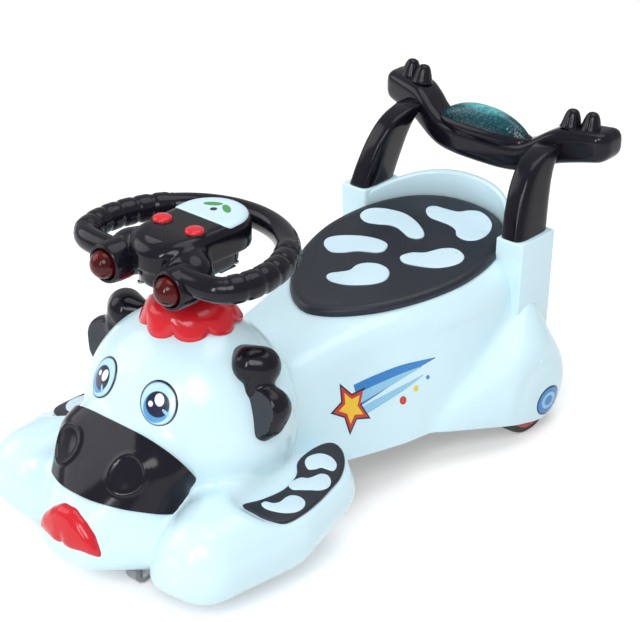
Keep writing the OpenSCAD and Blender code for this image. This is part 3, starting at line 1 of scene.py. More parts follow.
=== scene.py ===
from math import atan, atan2, copysign, cos, exp, pi, radians, sin, sqrt, tan
import bmesh
import bpy
from mathutils import Matrix, Vector
from mathutils.bvhtree import BVHTree


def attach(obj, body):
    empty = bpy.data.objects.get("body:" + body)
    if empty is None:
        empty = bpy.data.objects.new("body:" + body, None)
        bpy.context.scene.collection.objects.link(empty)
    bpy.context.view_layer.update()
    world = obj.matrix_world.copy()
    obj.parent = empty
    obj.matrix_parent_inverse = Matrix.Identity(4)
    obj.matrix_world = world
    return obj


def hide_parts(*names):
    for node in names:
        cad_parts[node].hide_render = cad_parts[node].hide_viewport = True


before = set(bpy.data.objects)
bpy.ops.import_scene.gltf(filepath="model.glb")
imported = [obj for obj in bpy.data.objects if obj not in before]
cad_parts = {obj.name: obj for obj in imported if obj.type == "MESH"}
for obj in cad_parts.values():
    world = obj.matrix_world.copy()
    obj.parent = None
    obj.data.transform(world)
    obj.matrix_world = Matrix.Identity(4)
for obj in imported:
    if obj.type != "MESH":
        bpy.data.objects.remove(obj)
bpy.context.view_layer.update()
scene = bpy.context.scene
mm = 0.001
tiny = 1e-6  # metres
print("frame loaded,", len(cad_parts), "nodes")


# colours and node helpers

def tone(r, g, b):  # screen colour to the value a socket takes
    return tuple(((c / 255 + 0.055) / 1.055) ** 2.4 if c > 10 else c / 3294 for c in (r, g, b)) + (1.0,)


def feed(node, ins):  # sockets take plain values, or other nodes' outputs as (node, socket)
    for key, value in ins.items():
        if isinstance(value, tuple) and isinstance(value[0], bpy.types.Node):
            node.id_data.links.new(value[0].outputs[value[1]], node.inputs[key])
        else:
            node.inputs[key].default_value = value


def place(tree, kind, ins=None, **settings):
    node = tree.nodes.new(kind)
    for key, value in settings.items():
        setattr(node, key, value)
    feed(node, ins or {})
    return node


def noise(at, scale, detail, **more):
    ins = {"Vector": at, "Scale": scale, "Detail": detail, **more}
    return place(at[0].id_data, "ShaderNodeTexNoise", ins), 0


def bumped(height, strength, distance):
    ins = {"Height": height, "Strength": strength, "Distance": distance}
    return place(height[0].id_data, "ShaderNodeBump", ins), 0


def spread(source, low, high, toLow=0.0, toHigh=1.0):  # a value stretched over a range
    ins = {"Value": source, "From Min": low, "From Max": high, "To Min": toLow, "To Max": toHigh}
    return place(source[0].id_data, "ShaderNodeMapRange", ins), "Result"


def times(a, b):
    return place(a[0].id_data, "ShaderNodeMath", {0: a, 1: b}, operation="MULTIPLY"), 0


def addShare(share, factor, base, clamp=False):
    ins = {0: share, 1: factor, 2: base}
    return place(share[0].id_data, "ShaderNodeMath", ins, operation="MULTIPLY_ADD", use_clamp=clamp), 0


def blendTone(share, a, b):
    return place(share[0].id_data, "ShaderNodeMix", {0: share, 6: a, 7: b}, data_type="RGBA"), 2


def blendValue(share, a, b):
    return place(share[0].id_data, "ShaderNodeMix", {0: share, 2: a, 3: b}, data_type="FLOAT"), 0


def startGroup(name, inputs):  # a group that gives colour, roughness and normal
    tree = bpy.data.node_groups.new(name, "ShaderNodeTree")
    number, colour = "NodeSocketFloat", "NodeSocketColor"
    for key, value in inputs.items():
        kind = colour if isinstance(value, tuple) else number
        tree.interface.new_socket(name=key, in_out="INPUT", socket_type=kind).default_value = value
    for key, kind in (("Color", colour), ("Roughness", number), ("Normal", "NodeSocketVector")):
        tree.interface.new_socket(name=key, in_out="OUTPUT", socket_type=kind)
    return tree, place(tree, "NodeGroupInput"), place(tree, "ShaderNodeTexCoord")


# moulded plastic: faint flow clouds, handling smears, hairlines, fine peel and settled dust
def buildMouldedSkin():
    tree, given, coord = startGroup("mouldedSkin", {
        "Base": (0.8, 0.8, 0.8, 1), "Shade": (0.7, 0.7, 0.7, 1), "Cloud": 0.4, "RoughLow": 0.2,
        "RoughHigh": 0.35, "PeelSize": 700.0, "PeelDepth": 0.1, "Dust": 0.1})
    at = (coord, "Object")
    dustTone = (0.62, 0.6, 0.57, 1)
    hairLay = {"Vector": at, "Rotation": (0.4, 0.2, 0.7), "Scale": (26.0, 420.0, 60.0)}
    hair = noise((place(tree, "ShaderNodeMapping", hairLay), 0), 4.0, 2.0)
    hairMask = spread(hair, 0.68, 0.72)
    cloudMask = spread(noise(at, 8.0, 3.0), 0.36, 0.64)
    smearMask = spread(noise(at, 34.0, 6.0, Roughness=0.68), 0.4, 0.64)
    plain = blendTone(times(cloudMask, (given, "Cloud")), (given, "Base"), (given, "Shade"))
    speck = place(tree, "ShaderNodeTexVoronoi", {"Vector": at, "Scale": 380.0})
    speckMask = spread((speck, "Distance"), 0.1, 0.24, 1.0, 0.0)
    patchMask = spread(noise(at, 21.0, 3.0), 0.48, 0.66)
    facing = place(tree, "ShaderNodeSeparateXYZ", {0: (coord, "Normal")})
    settled = times(times(speckMask, patchMask), spread((facing, 2), 0.1, 0.9))
    rough = blendValue(smearMask, (given, "RoughLow"), (given, "RoughHigh"))
    peel = noise(at, (given, "PeelSize"), 2.0)
    place(tree, "NodeGroupOutput", {
        "Color": blendTone(times(settled, (given, "Dust")), plain, dustTone),
        "Roughness": addShare(hairMask, 0.05, rough, True),
        "Normal": bumped(addShare(hairMask, -0.2, peel), (given, "PeelDepth"), 0.0005)})
    return tree


# metal: fine draw lines and dull patches
def buildDrawnMetal():
    tree, given, coord = startGroup("drawnMetal", {
        "Base": (0.6, 0.6, 0.6, 1), "Tarnish": (0.4, 0.38, 0.35, 1), "RoughLow": 0.25, "RoughHigh": 0.45})
    at = (coord, "Object")
    lay = place(tree, "ShaderNodeMapping", {"Vector": at, "Scale": (8.0, 700.0, 700.0)})
    line = noise((lay, 0), 3.0, 3.0)
    dullMask = spread(noise(at, 90.0, 4.0), 0.42, 0.66)
    place(tree, "NodeGroupOutput", {
        "Color": blendTone(dullMask, (given, "Base"), (given, "Tarnish")),
        "Roughness": blendValue(dullMask, (given, "RoughLow"), (given, "RoughHigh")),
        "Normal": bumped(line, 0.15, 0.0003)})
    return tree


mouldedSkin = buildMouldedSkin()
drawnMetal = buildDrawnMetal()


def startFinish(name):
    finish = bpy.data.materials.new(name)
    finish.use_nodes = True
    return finish, finish.node_tree, finish.node_tree.nodes["Principled BSDF"]


def groupFinish(name, group, ins, more):  # a finish led by a node group, with more values for its shader
    finish, tree, shader = startFinish(name)
    skin = place(tree, "ShaderNodeGroup", ins, node_tree=group)
    given = {"Base Color": (skin, "Color"), "Roughness": (skin, "Roughness"), "Normal": (skin, "Normal")}
    feed(shader, {**given, **more})
    return finish


def moulded(name, base, shade, rough, cloud, peel, dust, coat=0.0, level=0.5):
    return groupFinish(name, mouldedSkin, {
        "Base": tone(*base), "Shade": tone(*shade), "RoughLow": rough[0], "RoughHigh": rough[1],
        "Cloud": cloud, "PeelSize": peel[0], "PeelDepth": peel[1], "Dust": dust},
        {"Coat Weight": coat, "Coat Roughness": 0.06, "Specular IOR Level": level})


def metal(name, base, tarnish, rough):
    return groupFinish(name, drawnMetal, {
        "Base": tone(*base), "Tarnish": tone(*tarnish), "RoughLow": rough[0], "RoughHigh": rough[1]},
        {"Metallic": 1.0})


# each plastic: base, shade, roughness, clouds, peel size and depth, dust, then coat and gloss level
plastics = {
    "shellPale": ((215, 244, 254), (210, 240, 251), (0.2, 0.27), 0.4, (420.0, 0.04), 0.02, 0.15),
    "spotPale": ((209, 235, 248), (203, 229, 243), (0.26, 0.36), 0.4, (600.0, 0.08), 0.03),
    "darkGloss": ((22, 20, 30), (16, 14, 22), (0.12, 0.2), 0.6, (520.0, 0.05), 0.03, 0.0, 0.26),
    "darkMuzzle": ((24, 22, 33), (18, 16, 25), (0.12, 0.2), 0.6, (480.0, 0.05), 0.03, 0.0, 0.26),
    "slabSatin": ((33, 38, 50), (27, 32, 43), (0.36, 0.48), 0.6, (900.0, 0.22), 0.05, 0.0, 0.4),
    "redGloss": ((216, 36, 48), (200, 26, 38), (0.14, 0.22), 0.5, (420.0, 0.04), 0.02, 0.1, 0.35),
    "frameGrey": ((58, 56, 60), (48, 46, 50), (0.4, 0.55), 0.6, (800.0, 0.25), 0.35),
    "bearingWhite": ((226, 224, 216), (214, 211, 200), (0.35, 0.5), 0.5, (700.0, 0.12), 0.1),
    "hubRed": ((206, 48, 44), (188, 38, 38), (0.25, 0.4), 0.5, (600.0, 0.12), 0.2),
    "tyreBlack": ((40, 40, 42), (54, 52, 50), (0.55, 0.75), 0.8, (1400.0, 0.45), 0.6),
    "rollerGrey": ((150, 152, 156), (132, 134, 138), (0.4, 0.55), 0.7, (700.0, 0.18), 0.3),
    "boardGreen": ((28, 96, 58), (20, 78, 46), (0.3, 0.45), 0.7, (900.0, 0.2), 0.1),
    "cellSleeve": ((176, 128, 58), (70, 60, 52), (0.25, 0.4), 0.9, (500.0, 0.08), 0.1),
    # ear facet grey: a painted reflection on the flat face of the dark ear plastic
    "earPaintedSheen": ((44, 48, 57), (37, 41, 50), (0.4, 0.55), 0.6, (700.0, 0.2), 0.05),
    # near-black for the speaker holes: painted shade inside the holes
    "holeBlack": ((9, 8, 10), (6, 5, 7), (0.6, 0.8), 0.5, (900.0, 0.2), 0.0),
}
inks = {
    "printYellow": ((246, 206, 62), (238, 192, 50)), "printRed": ((208, 62, 44), (196, 50, 38)),
    "printBlue": ((58, 134, 204), (46, 116, 190)), "printSky": ((150, 206, 236), (132, 194, 230)),
    "printNavy": ((30, 34, 66), (24, 28, 56)), "printGreen": ((74, 158, 84), (60, 142, 72)),
}
inkLook = ((0.24, 0.34), 0.5, (900.0, 0.05), 0.02)
finishes = {name: moulded(name, *look) for name, look in plastics.items()}
for name, tones in inks.items():
    finishes[name] = moulded(name, *tones, *inkLook)
finishes["steelPlain"] = metal("steelPlain", (190, 190, 194), (150, 147, 143), (0.22, 0.42))
finishes["screwZinc"] = metal("screwZinc", (186, 186, 190), (138, 134, 128), (0.3, 0.5))


# lens with moulded prisms: cells of light and dark teal, with painted shade darker towards the bottom, a
# painted highlight band along the top and painted glints
def buildLensTeal():
    finish, tree, shader = startFinish("lensTeal")
    at = (place(tree, "ShaderNodeTexCoord"), "Object")
    cells = place(tree, "ShaderNodeTexVoronoi", {"Vector": at, "Scale": 260.0})
    paintedGlintNoise = noise(at, 420.0, 2.0)
    height = (place(tree, "ShaderNodeSeparateXYZ", {0: at}), 2)
    # painted shade: the lens darkens towards its bottom
    deep = blendTone(spread(height, 0.336, 0.36), tone(1, 18, 26), tone(8, 80, 92))
    # painted highlight: a bright cyan band along the top edge
    body = blendTone(spread(height, 0.357, 0.365), deep, tone(112, 206, 212))
    cellTone = (place(tree, "ShaderNodeSeparateColor", {0: (cells, "Color")}), 0)
    cellShare = times(spread(cellTone, 0.2, 0.95), 0.5)
    dappled = blendTone(cellShare, body, tone(6, 72, 84))
    # painted glints: bright teal spots from the noise, laid over the cells
    paintedGlintShare = times(spread(paintedGlintNoise, 0.6, 0.72), 0.35)
    feed(shader, {
        "Base Color": blendTone(paintedGlintShare, dappled, tone(100, 200, 204)),
        "Roughness": spread(paintedGlintNoise, 0.3, 0.7, 0.08, 0.22),
        "Normal": bumped((cells, "Distance"), 0.5, 0.0012),
        "Specular IOR Level": 0.3, "Coat Weight": 0.2, "Coat Roughness": 0.04})
    return finish


# lamp lens: clouded dark red over small cells
def buildLensRed():
    finish, tree, shader = startFinish("lensRed")
    at = (place(tree, "ShaderNodeTexCoord"), "Object")
    cloud = noise(at, 60.0, 3.0)
    cells = place(tree, "ShaderNodeTexVoronoi", {"Vector": at, "Scale": 320.0})
    feed(shader, {
        "Base Color": blendTone(spread(cloud, 0.35, 0.65), tone(88, 9, 8), tone(46, 5, 6)),
        "Roughness": spread(cloud, 0.3, 0.7, 0.05, 0.14),
        "Normal": bumped((cells, "Distance"), 0.12, 0.0006),
        "Specular IOR Level": 0.24, "Coat Weight": 0.1, "Coat Roughness": 0.03})
    return finish


finishes["lensTeal"] = buildLensTeal()
finishes["lensRed"] = buildLensRed()

slotFinish = {
    "shell_pale": "shellPale", "moulded_dark": "darkGloss", "slab_dark": "slabSatin",
    "red_gloss": "redGloss", "lens_teal": "lensTeal", "lens_red": "lensRed", "frame_grey": "frameGrey",
    "bearing_white": "bearingWhite", "steel_plain": "steelPlain", "screw_zinc": "screwZinc",
    "hub_red": "hubRed", "tyre_black": "tyreBlack", "roller_grey": "rollerGrey",
    "board_green": "boardGreen", "cell_brass": "cellSleeve",
}
finishSlot = {finish: slot for slot, finish in slotFinish.items()}
finishSlot.update(spotPale="shell_pale", darkMuzzle="moulded_dark")
print("finishes made,", len(finishes))


# modelling helpers, all lengths in millimetres until they reach a mesh

sides = ((1, "Left"), (-1, "Right"))


def vec(x, y, z):
    return Vector((x, y, z)) * mm


def power(v, p):
    return copysign(abs(v) ** p, v)


def cosOf(degrees):
    return cos(radians(degrees))


def sinOf(degrees):
    return sin(radians(degrees))


def facedOut(form):
    bmesh.ops.recalc_face_normals(form, faces=form.faces[:])
    return form


def turns(count, start=0.0):  # angles once round a circle
    return [2 * pi * (k + start) / count for k in range(count)]


def curveAt(table, t, column):  # smooth curve through a table's rows
    i = 0
    while i < len(table) - 2 and t >= table[i + 1][0]:
        i += 1

    def slope(k):
        a, b = table[max(k - 1, 0)], table[min(k + 1, len(table) - 1)]
        return (b[column] - a[column]) / (b[0] - a[0])
    h = table[i + 1][0] - table[i][0]
    u = (t - table[i][0]) / h
    return ((2 * u ** 3 - 3 * u * u + 1) * table[i][column] + (u ** 3 - 2 * u * u + u) * h * slope(i)
            + (3 * u * u - 2 * u ** 3) * table[i + 1][column] + (u ** 3 - u * u) * h * slope(i + 1))


def roundOutline(points, steps=4):  # closed smooth outline through a ring of points
    n = len(points)
    out = []
    for i in range(n):
        a, b, c, d = (Vector(points[(i + k) % n]) for k in (-1, 0, 1, 2))
        for u in (k / steps for k in range(steps)):
            curved = (2 * a - 5 * b + 4 * c - d) * u ** 2 + (3 * b - a - 3 * c + d) * u ** 3
            out.append((2 * b + (c - a) * u + curved) / 2)
    return out


def growOutline(points, grow):  # outline moved outwards along its own normals
    n = len(points)
    area = sum(points[i].x * points[(i + 1) % n].y - points[(i + 1) % n].x * points[i].y for i in range(n))
    sign = 1 if area > 0 else -1
    out = []
    for i in range(n):
        along = (points[(i + 1) % n] - points[i - 1]).normalized()
        out.append(points[i] + Vector((along.y, -along.x)) * grow * sign)
    return out


def ballPoints(centre, radius, segments=36):
    part = bmesh.new()
    bmesh.ops.create_uvsphere(part, u_segments=segments, v_segments=segments // 2, radius=radius * mm,
                              matrix=Matrix.Translation(vec(*centre)))
    points = [v.co.copy() for v in part.verts]
    part.free()
    return points


def ballsPoints(balls, segments=36):
    return [p for ball in balls for p in ballPoints(*ball, segments)]


def discPoints(centre, radius, z, count=48):
    x, y = centre
    return [vec(x + radius * cos(a), y + radius * sin(a), z) for a in turns(count)]


def superRing(x, y, z, halfW, halfD, p, count=64):  # oval to box as p falls from 1
    return [vec(x + halfW * power(cos(a), p), y + halfD * power(sin(a), p), z)
            for a in turns(count, 0.5)]


def hullForm(points):
    form = bmesh.new()
    for p in points:
        form.verts.new(p)
    bmesh.ops.convex_hull(form, input=form.verts[:])
    bmesh.ops.delete(form, geom=[v for v in form.verts if not v.link_faces], context="VERTS")
    return facedOut(form)


def ballHull(balls, segments=36):
    return hullForm(ballsPoints(balls, segments))


def ringLoft(rings, capEnds=True, closed=False):  # skin over rings of points, each ring closed
    form = bmesh.new()
    loops = []
    for ring in rings:
        verts = [form.verts.new(p) for p in ring]
        loops.append([form.edges.new((verts[i - 1], verts[i])) for i in range(len(verts))])
    pairs = list(zip(loops, loops[1:])) + ([(loops[-1], loops[0])] if closed else [])
    for a, b in pairs:
        bmesh.ops.bridge_loops(form, edges=a + b)
    if capEnds and not closed:
        for loop in (loops[0], loops[-1]):
            bmesh.ops.contextual_create(form, geom=loop)
    return facedOut(form)


def spinForm(profile, axisPoint, axis, steps=48):  # profile of (radius, along) turned about an axis
    form = bmesh.new()
    centre, axis, side = vec(*axisPoint), Vector(axis), Vector((1, 0, 0))
    verts = [form.verts.new(centre + side * r * mm + axis * h * mm) for r, h in profile]
    edges = [form.edges.new(pair) for pair in zip(verts, verts[1:])]
    bmesh.ops.spin(form, geom=verts + edges, cent=centre, axis=axis, angle=2 * pi, steps=steps,
                   use_merge=True)
    bmesh.ops.remove_doubles(form, verts=form.verts[:], dist=tiny)
    return facedOut(form)


def gather(forms):
    whole = bmesh.new()
    for form in forms:
        mesh = bpy.data.meshes.new("gathered")
        form.to_mesh(mesh)
        form.free()
        whole.from_mesh(mesh)
        bpy.data.meshes.remove(mesh)
    return whole


def mirrored(form):  # copy on the other side of the middle plane
    copy = form.copy()
    bmesh.ops.scale(copy, vec=(-1, 1, 1), verts=copy.verts[:])
    bmesh.ops.reverse_faces(copy, faces=copy.faces[:])
    return copy


def bothSides(form):
    return [mirrored(form), form]


def formObject(form, name):
    mesh = bpy.data.meshes.new(name)
    form.to_mesh(mesh)
    form.free()
    obj = bpy.data.objects.new(name, mesh)
    scene.collection.objects.link(obj)
    return obj


def dropObject(obj):
    mesh = obj.data
    bpy.data.objects.remove(obj)
    bpy.data.meshes.remove(mesh)


def bakedForm(obj):  # the object's mesh with its modifiers
    bpy.context.view_layer.update()
    form = bmesh.new()
    form.from_object(obj, bpy.context.evaluated_depsgraph_get())
    dropObject(obj)
    return form


def blendUnion(forms, voxel, rounds):  # overlapping forms melted into one skin
    obj = formObject(gather(forms), "unionForm")
    melt = obj.modifiers.new("melt", "REMESH")
    melt.mode = "VOXEL"
    melt.voxel_size = voxel * mm
    form = bakedForm(obj)
    for _ in range(rounds):
        bmesh.ops.smooth_vert(form, verts=form.verts[:], factor=0.5, use_axis_x=True, use_axis_y=True,
                              use_axis_z=True)
    return form


def cutAway(form, cutter):
    body, tool = formObject(form, "cutBody"), formObject(cutter, "cutTool")
    cut = body.modifiers.new("cut", "BOOLEAN")
    cut.operation = "DIFFERENCE"
    cut.solver = "EXACT"
    cut.object = tool
    result = bakedForm(body)
    dropObject(tool)
    return result


def thicken(form, wall):  # wall grown inwards from the skin
    obj = formObject(form, "wallForm")
    solid = obj.modifiers.new("wall", "SOLIDIFY")
    solid.thickness = wall * mm
    solid.offset = -1.0
    return bakedForm(obj)


def trim(form, point, normal):  # cut off what lies on the normal's side
    bmesh.ops.bisect_plane(form, geom=form.verts[:] + form.edges[:] + form.faces[:], dist=tiny,
                           plane_co=vec(*point), plane_no=Vector(normal), clear_outer=True)


def plateForm(outline, steps, lay):  # plate with rounded edges: steps are (grow, height), lay sets a point
    return ringLoft([[lay(p.x, p.y, z) for p in growOutline(outline, grow)] for grow, z in steps])


def makePiece(name, form, finish, *stands, body="body", crease=None):  # stands: the CAD nodes it replaces
    for face in facedOut(form).faces:
        face.smooth = True
    obj = formObject(form, name)
    looks = finish if isinstance(finish, list) else [finish]
    for look in looks:
        obj.data.materials.append(finishes[look])
    if crease:
        obj.data.set_sharp_from_angle(angle=radians(crease))
    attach(obj, body)
    if stands:
        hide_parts(*stands)


# seat platform, named first because the body's skin rises to it; steps are (grow, height)
seat = {
    "y": 184, "halfWidth": 115, "front": 176, "rear": 146, "frontPower": 1.18, "rearPower": 0.9,
    "points": 120, "deck": 196, "deckRise": 0.1, "plinth": [(-1, -16), (-1, 0)],
    "skirt": [(20, -32), (9, -13), (4, -3), (2, 0.5)],
    "rim": [(0, 0.2), (0.4, 1.6), (0.4, 5), (-0.6, 7.4), (-2.6, 9.4), (-6, 10.8), (-10, 11.1), (-14, 10.7),
            (-18, 10.1)],
    "dish": 1.4, "dishShares": (0.85, 0.68, 0.5, 0.3, 0.1),
}
deckTilt = atan(seat["deckRise"])


def onDeck(x, y, z):
    return vec(x, y * cos(deckTilt) - z * sin(deckTilt),
               seat["deck"] + y * sin(deckTilt) + z * cos(deckTilt))


def seatPoint(angle, grow):
    c, s = cos(angle), sin(angle)
    p = seat["frontPower"] if s < 0 else seat["rearPower"]
    span = seat["front"] if s < 0 else seat["rear"]
    return (seat["halfWidth"] + grow) * power(c, p), seat["y"] + (span + grow) * power(s, p)


def seatRing(grow, z):
    return [onDeck(*seatPoint(a, grow), z) for a in turns(seat["points"], 0.5)]


# body shell: head, snout, forelegs with foot pockets, torso and haunches in one skin
shell = {
    "wall": 3, "rim": 12, "voxel": 4.4, "rounds": 8,
    "head": {"at": (0, -191, 150), "size": (132, 113, 129), "cheek": (112, 117), "cheekDrop": 75},
    "jaw": [((0, -339, 72), 54), ((46, -312, 65), 46), ((-46, -312, 65), 46), ((26, -377, 56), 19),
            ((-26, -377, 56), 19)],
    "snout": [((48, -295, 138), 39), ((-48, -295, 138), 39)],
    "face": ((0, -212, 150), 90),
    "leg": [((139, -312, 68), 52), ((150, -215, 67), 53), ((144, -130, 74), 42)],
    "toe": [((126, -282, 76), 49), ((103, -332, 42), 22)],
    "fender": {"at": (160, 238, 62), "ring": 45, "edge": 26},
    "cover": {"at": (170, 240, 54), "ring": 27, "edge": 20},
    "haunch": [((118, 114, 44), 28), ((136, 266, 146), 20)],
    "rib": [((153, 254, 147), 4), ((169, 245, 126), 4.5), ((183, 242, 103), 4)],
}
torso = {  # curve: share of the length, then widths at the bottom and the deck, and the bottom's height
    "front": -166, "length": 506, "halfWidth": 142, "edge": 36, "hem": 28, "steps": 48, "rows": 8,
    "curve": [(0, 0.8, 0.5, 0.22), (0.15, 0.86, 0.5, 0.22), (0.33, 0.93, 0.56, 0.2),
              (0.51, 0.97, 0.72, 0.15), (0.68, 1, 0.87, 0.1), (0.84, 1, 0.86, 0.08),
              (0.94, 0.94, 0.76, 0.1), (1, 0.7, 0.54, 0.24)],
    "tail": [(0, 1.0), (4, 0.94), (7, 0.84), (8.5, 0.6)],
}
foot = {
    "at": (166, -173, 100.3), "tilt": 13, "length": 164, "thick": 3, "land": 7, "play": 1.5, "core": 0.6,
    "flare": (28, 34),
    "outline": [(-0.16, -0.49), (-0.05, -0.48), (0.06, -0.45), (0.14, -0.37), (0.15, -0.21), (0.13, -0.04),
                (0.09, 0.14), (0.05, 0.28), (-0.03, 0.41), (-0.12, 0.49), (-0.21, 0.51), (-0.26, 0.45),
                (-0.27, 0.31), (-0.24, 0.15), (-0.15, 0.04), (-0.1, -0.14), (-0.12, -0.34)],
    "panel": [(0, 0.2), (0.2, 1.6), (-0.3, 2.8), (-1.4, 3.4), (-3.5, 3.6)],
    "spot": [(0, 1), (0, 3.5), (-0.4, 4.0), (-1.4, 4.2)],
    "spots": [[(-32, 28), (-37, 37), (-36, 48), (-31, 57), (-21, 61), (-10, 58), (-4, 51), (-3, 44),
               (-10, 40), (-15, 37), (-17, 30), (-22, 23)],
              [(-16, -16), (-19, -7), (-18, 5), (-12, 12), (-10, 21), (-8, 30), (-1, 34), (8, 29),
               (13, 19), (11, 8), (4, -1), (-3, -10), (-9, -17)],
              [(-14, -63), (-14, -56), (-7, -51), (-4, -43), (-5, -32), (-3, -24), (4, -19), (13, -20),
               (19, -29), (19, -41), (13, -52), (4, -60), (-6, -65)]],
}
footLay = Matrix.Translation(vec(*foot["at"])) @ Matrix.Rotation(radians(foot["tilt"]), 4, "Y")
footOutline = roundOutline([Vector(p) * foot["length"] for p in foot["outline"]])


def onFoot(x, y, z):
    return footLay @ vec(x, y, z)


def footPoints(grow, z):
    return [onFoot(p.x, p.y, z) for p in growOutline(footOutline, grow)]


def torsoRing(share):
    t = torso
    r, rows = t["edge"], t["rows"]
    y = t["front"] + share * t["length"]
    lowX = t["halfWidth"] * curveAt(t["curve"], share, 1)
    topX = t["halfWidth"] * curveAt(t["curve"], share, 2) + r / 4
    low = seat["deck"] * curveAt(t["curve"], share, 3)
    top = seat["deck"] + seat["deckRise"] * y
    half = [(lowX, low - t["hem"])]
    half += [(lowX + (topX - lowX) * k / rows, low + (top - r - low) * k / rows) for k in range(rows)]
    half += [(topX - r + r * cosOf(a), top - r + r * sinOf(a)) for a in range(0, 91, 9)]
    return [vec(x, y, z) for x, z in half] + [vec(-x, y, z) for x, z in reversed(half)]


def buildTorso():
    steps = torso["steps"]
    rings = [torsoRing(k / steps) for k in range(steps)]
    last = torsoRing(1.0)
    middle = sum(last, Vector()) / len(last)
    for back, share in torso["tail"]:
        rings.append([middle + (p - middle) * share + vec(0, back, 0) for p in last])
    return ringLoft(rings)


def buildHead():
    head = shell["head"]
    at, size = Vector(head["at"]), Vector(head["size"])
    wide, deep = head["cheek"]
    dome = [p * size + at * mm for p in ballPoints((0, 0, 0), 1, 64)]
    cheeks = [vec(at.x + wide * cos(a), at.y + deep * sin(a), at.z - head["cheekDrop"])
              for a in turns(72)]
    return hullForm(dome + cheeks)


def buildForeleg():  # the leg and the land round its foot panel, both with the pocket cut out
    up, out = foot["flare"]
    pocket = hullForm(footPoints(foot["play"], 0) + footPoints(out, up))
    leg = ballHull(shell["leg"] + shell["toe"], 64)
    (x, y, z), paw = shell["leg"][0]
    hockAt, hock = shell["leg"][-1]
    core = ballPoints((x, y + paw / 2, z), paw * foot["core"]) + ballPoints(hockAt, hock * foot["core"])
    land = hullForm(footPoints(foot["land"], -foot["thick"]) + footPoints(foot["land"], 0) + core)
    forms = [cutAway(form, pocket.copy()) for form in (leg, land)]
    pocket.free()
    return forms


def roundDisc(disc):  # points of a thick disc across x with a rounded edge
    x, y, z = disc["at"]
    points = []
    for a in turns(64):
        for b in (j * pi / 16 for j in range(17)):
            r = disc["ring"] + disc["edge"] * sin(b)
            points.append(vec(x + disc["edge"] * cos(b), y + r * cos(a), z + r * sin(a)))
    return points


def buildShellSkin():
    s = shell
    forms = [buildTorso(), ringLoft([seatRing(*step) for step in seat["skirt"]]), buildHead()]
    forms.append(ballHull(s["snout"] + s["jaw"]))
    forms.append(hullForm(ballsPoints(s["snout"]) + ballPoints(*s["face"], 48)))
    haunch = hullForm(roundDisc(s["fender"]) + ballsPoints(s["haunch"]))
    for form in (*buildForeleg(), haunch, hullForm(roundDisc(s["cover"]))):
        forms += bothSides(form)
    return blendUnion(forms, s["voxel"], s["rounds"])


skin = buildShellSkin()
print("shell skin,", len(skin.faces), "faces")
skinTree = BVHTree.FromBMesh(skin)
castFrom = 0.06  # metres above a place on the skin that its ray starts from


def layOn(tree, point, aim, lift):  # the point dropped onto a skin along -aim
    hit = tree.ray_cast(point + aim * castFrom, -aim)
    return hit[0] + hit[1] * lift * mm if hit[0] else point


# openings below: the cut under the torso, the round well of the front wheels, the roller slots
opening = {
    "half": 260, "below": 60, "under": 40, "near": 0.6, "steep": 0.7,
    "edge": [(-84, 69), (45, 51), (85, 48), (157, 37), (192, 31), (240, 22), (360, 22)],
    "well": {"at": (0, -200), "radius": 100.7, "top": 104},
    "slot": {"at": (46, -322), "size": (23, 40), "top": 50},
    "chest": {"from": -130, "half": 90, "top": 60, "steep": 0.6},
}


def edgeAt(y):  # height of the lower edge behind the forelegs
    for (y0, z0), (y1, z1) in zip(opening["edge"], opening["edge"][1:]):
        if y <= y1:
            return z0 + (z1 - z0) * (y - y0) / (y1 - y0)
    return opening["edge"][-1][1]


def buildOpenings():
    o = opening
    edge, well, slot, under = o["edge"], o["well"], o["slot"], o["under"]
    below = [(edge[0][0], -o["below"])] + edge + [(edge[-1][0], -o["below"])]
    cutter = ringLoft([[vec(x, y, z) for y, z in below] for x in (-o["half"], o["half"])])
    wellAt = Matrix.Translation(vec(*well["at"], (well["top"] - under) / 2))
    bmesh.ops.create_cone(cutter, cap_ends=True, segments=96, radius1=well["radius"] * mm,
                          radius2=well["radius"] * mm, depth=(well["top"] + under) * mm, matrix=wellAt)
    size = Matrix.Diagonal((*vec(*slot["size"], slot["top"] + under), 1))
    for side, _ in sides:
        at = vec(side * slot["at"][0], slot["at"][1], (slot["top"] - under) / 2)
        bmesh.ops.create_cube(cutter, size=1.0, matrix=Matrix.Translation(at) @ size)
    return cutter


def isOpen(face):  # true of a face that the cuts leave and that the shell doesn't have
    o, chest = opening, opening["chest"]
    edgeY, edgeZ = o["edge"][0]
    x, y, z = face.calc_center_median() / mm
    if y > edgeY and abs(z - edgeAt(y)) < o["near"] and face.normal.z < -o["steep"]:
        return True
    if abs(y - edgeY) < o["near"] and face.normal.y > o["steep"] and z < edgeZ:
        return True
    return (chest["from"] < y < edgeY and abs(x) < chest["half"] and z < chest["top"]
            and face.normal.z < -chest["steep"])


def openShell(form):
    form = cutAway(form, buildOpenings())
    trim(form, (0, 0, shell["rim"]), (0, 0, -1))
    form.normal_update()
    bmesh.ops.delete(form, geom=[face for face in form.faces if isOpen(face)], context="FACES")
    return thicken(form, shell["wall"])


# wall behind the seat, from one socket round to the other
lip = {
    "grow": (0.7, 9.2), "from": 24.5, "rise": 19.5, "start": (244, 244), "foot": (-12, -26), "crest": 30,
    "tuck": (0.8, 0.6), "round": 3.4, "steps": 60, "arc": 6,
}


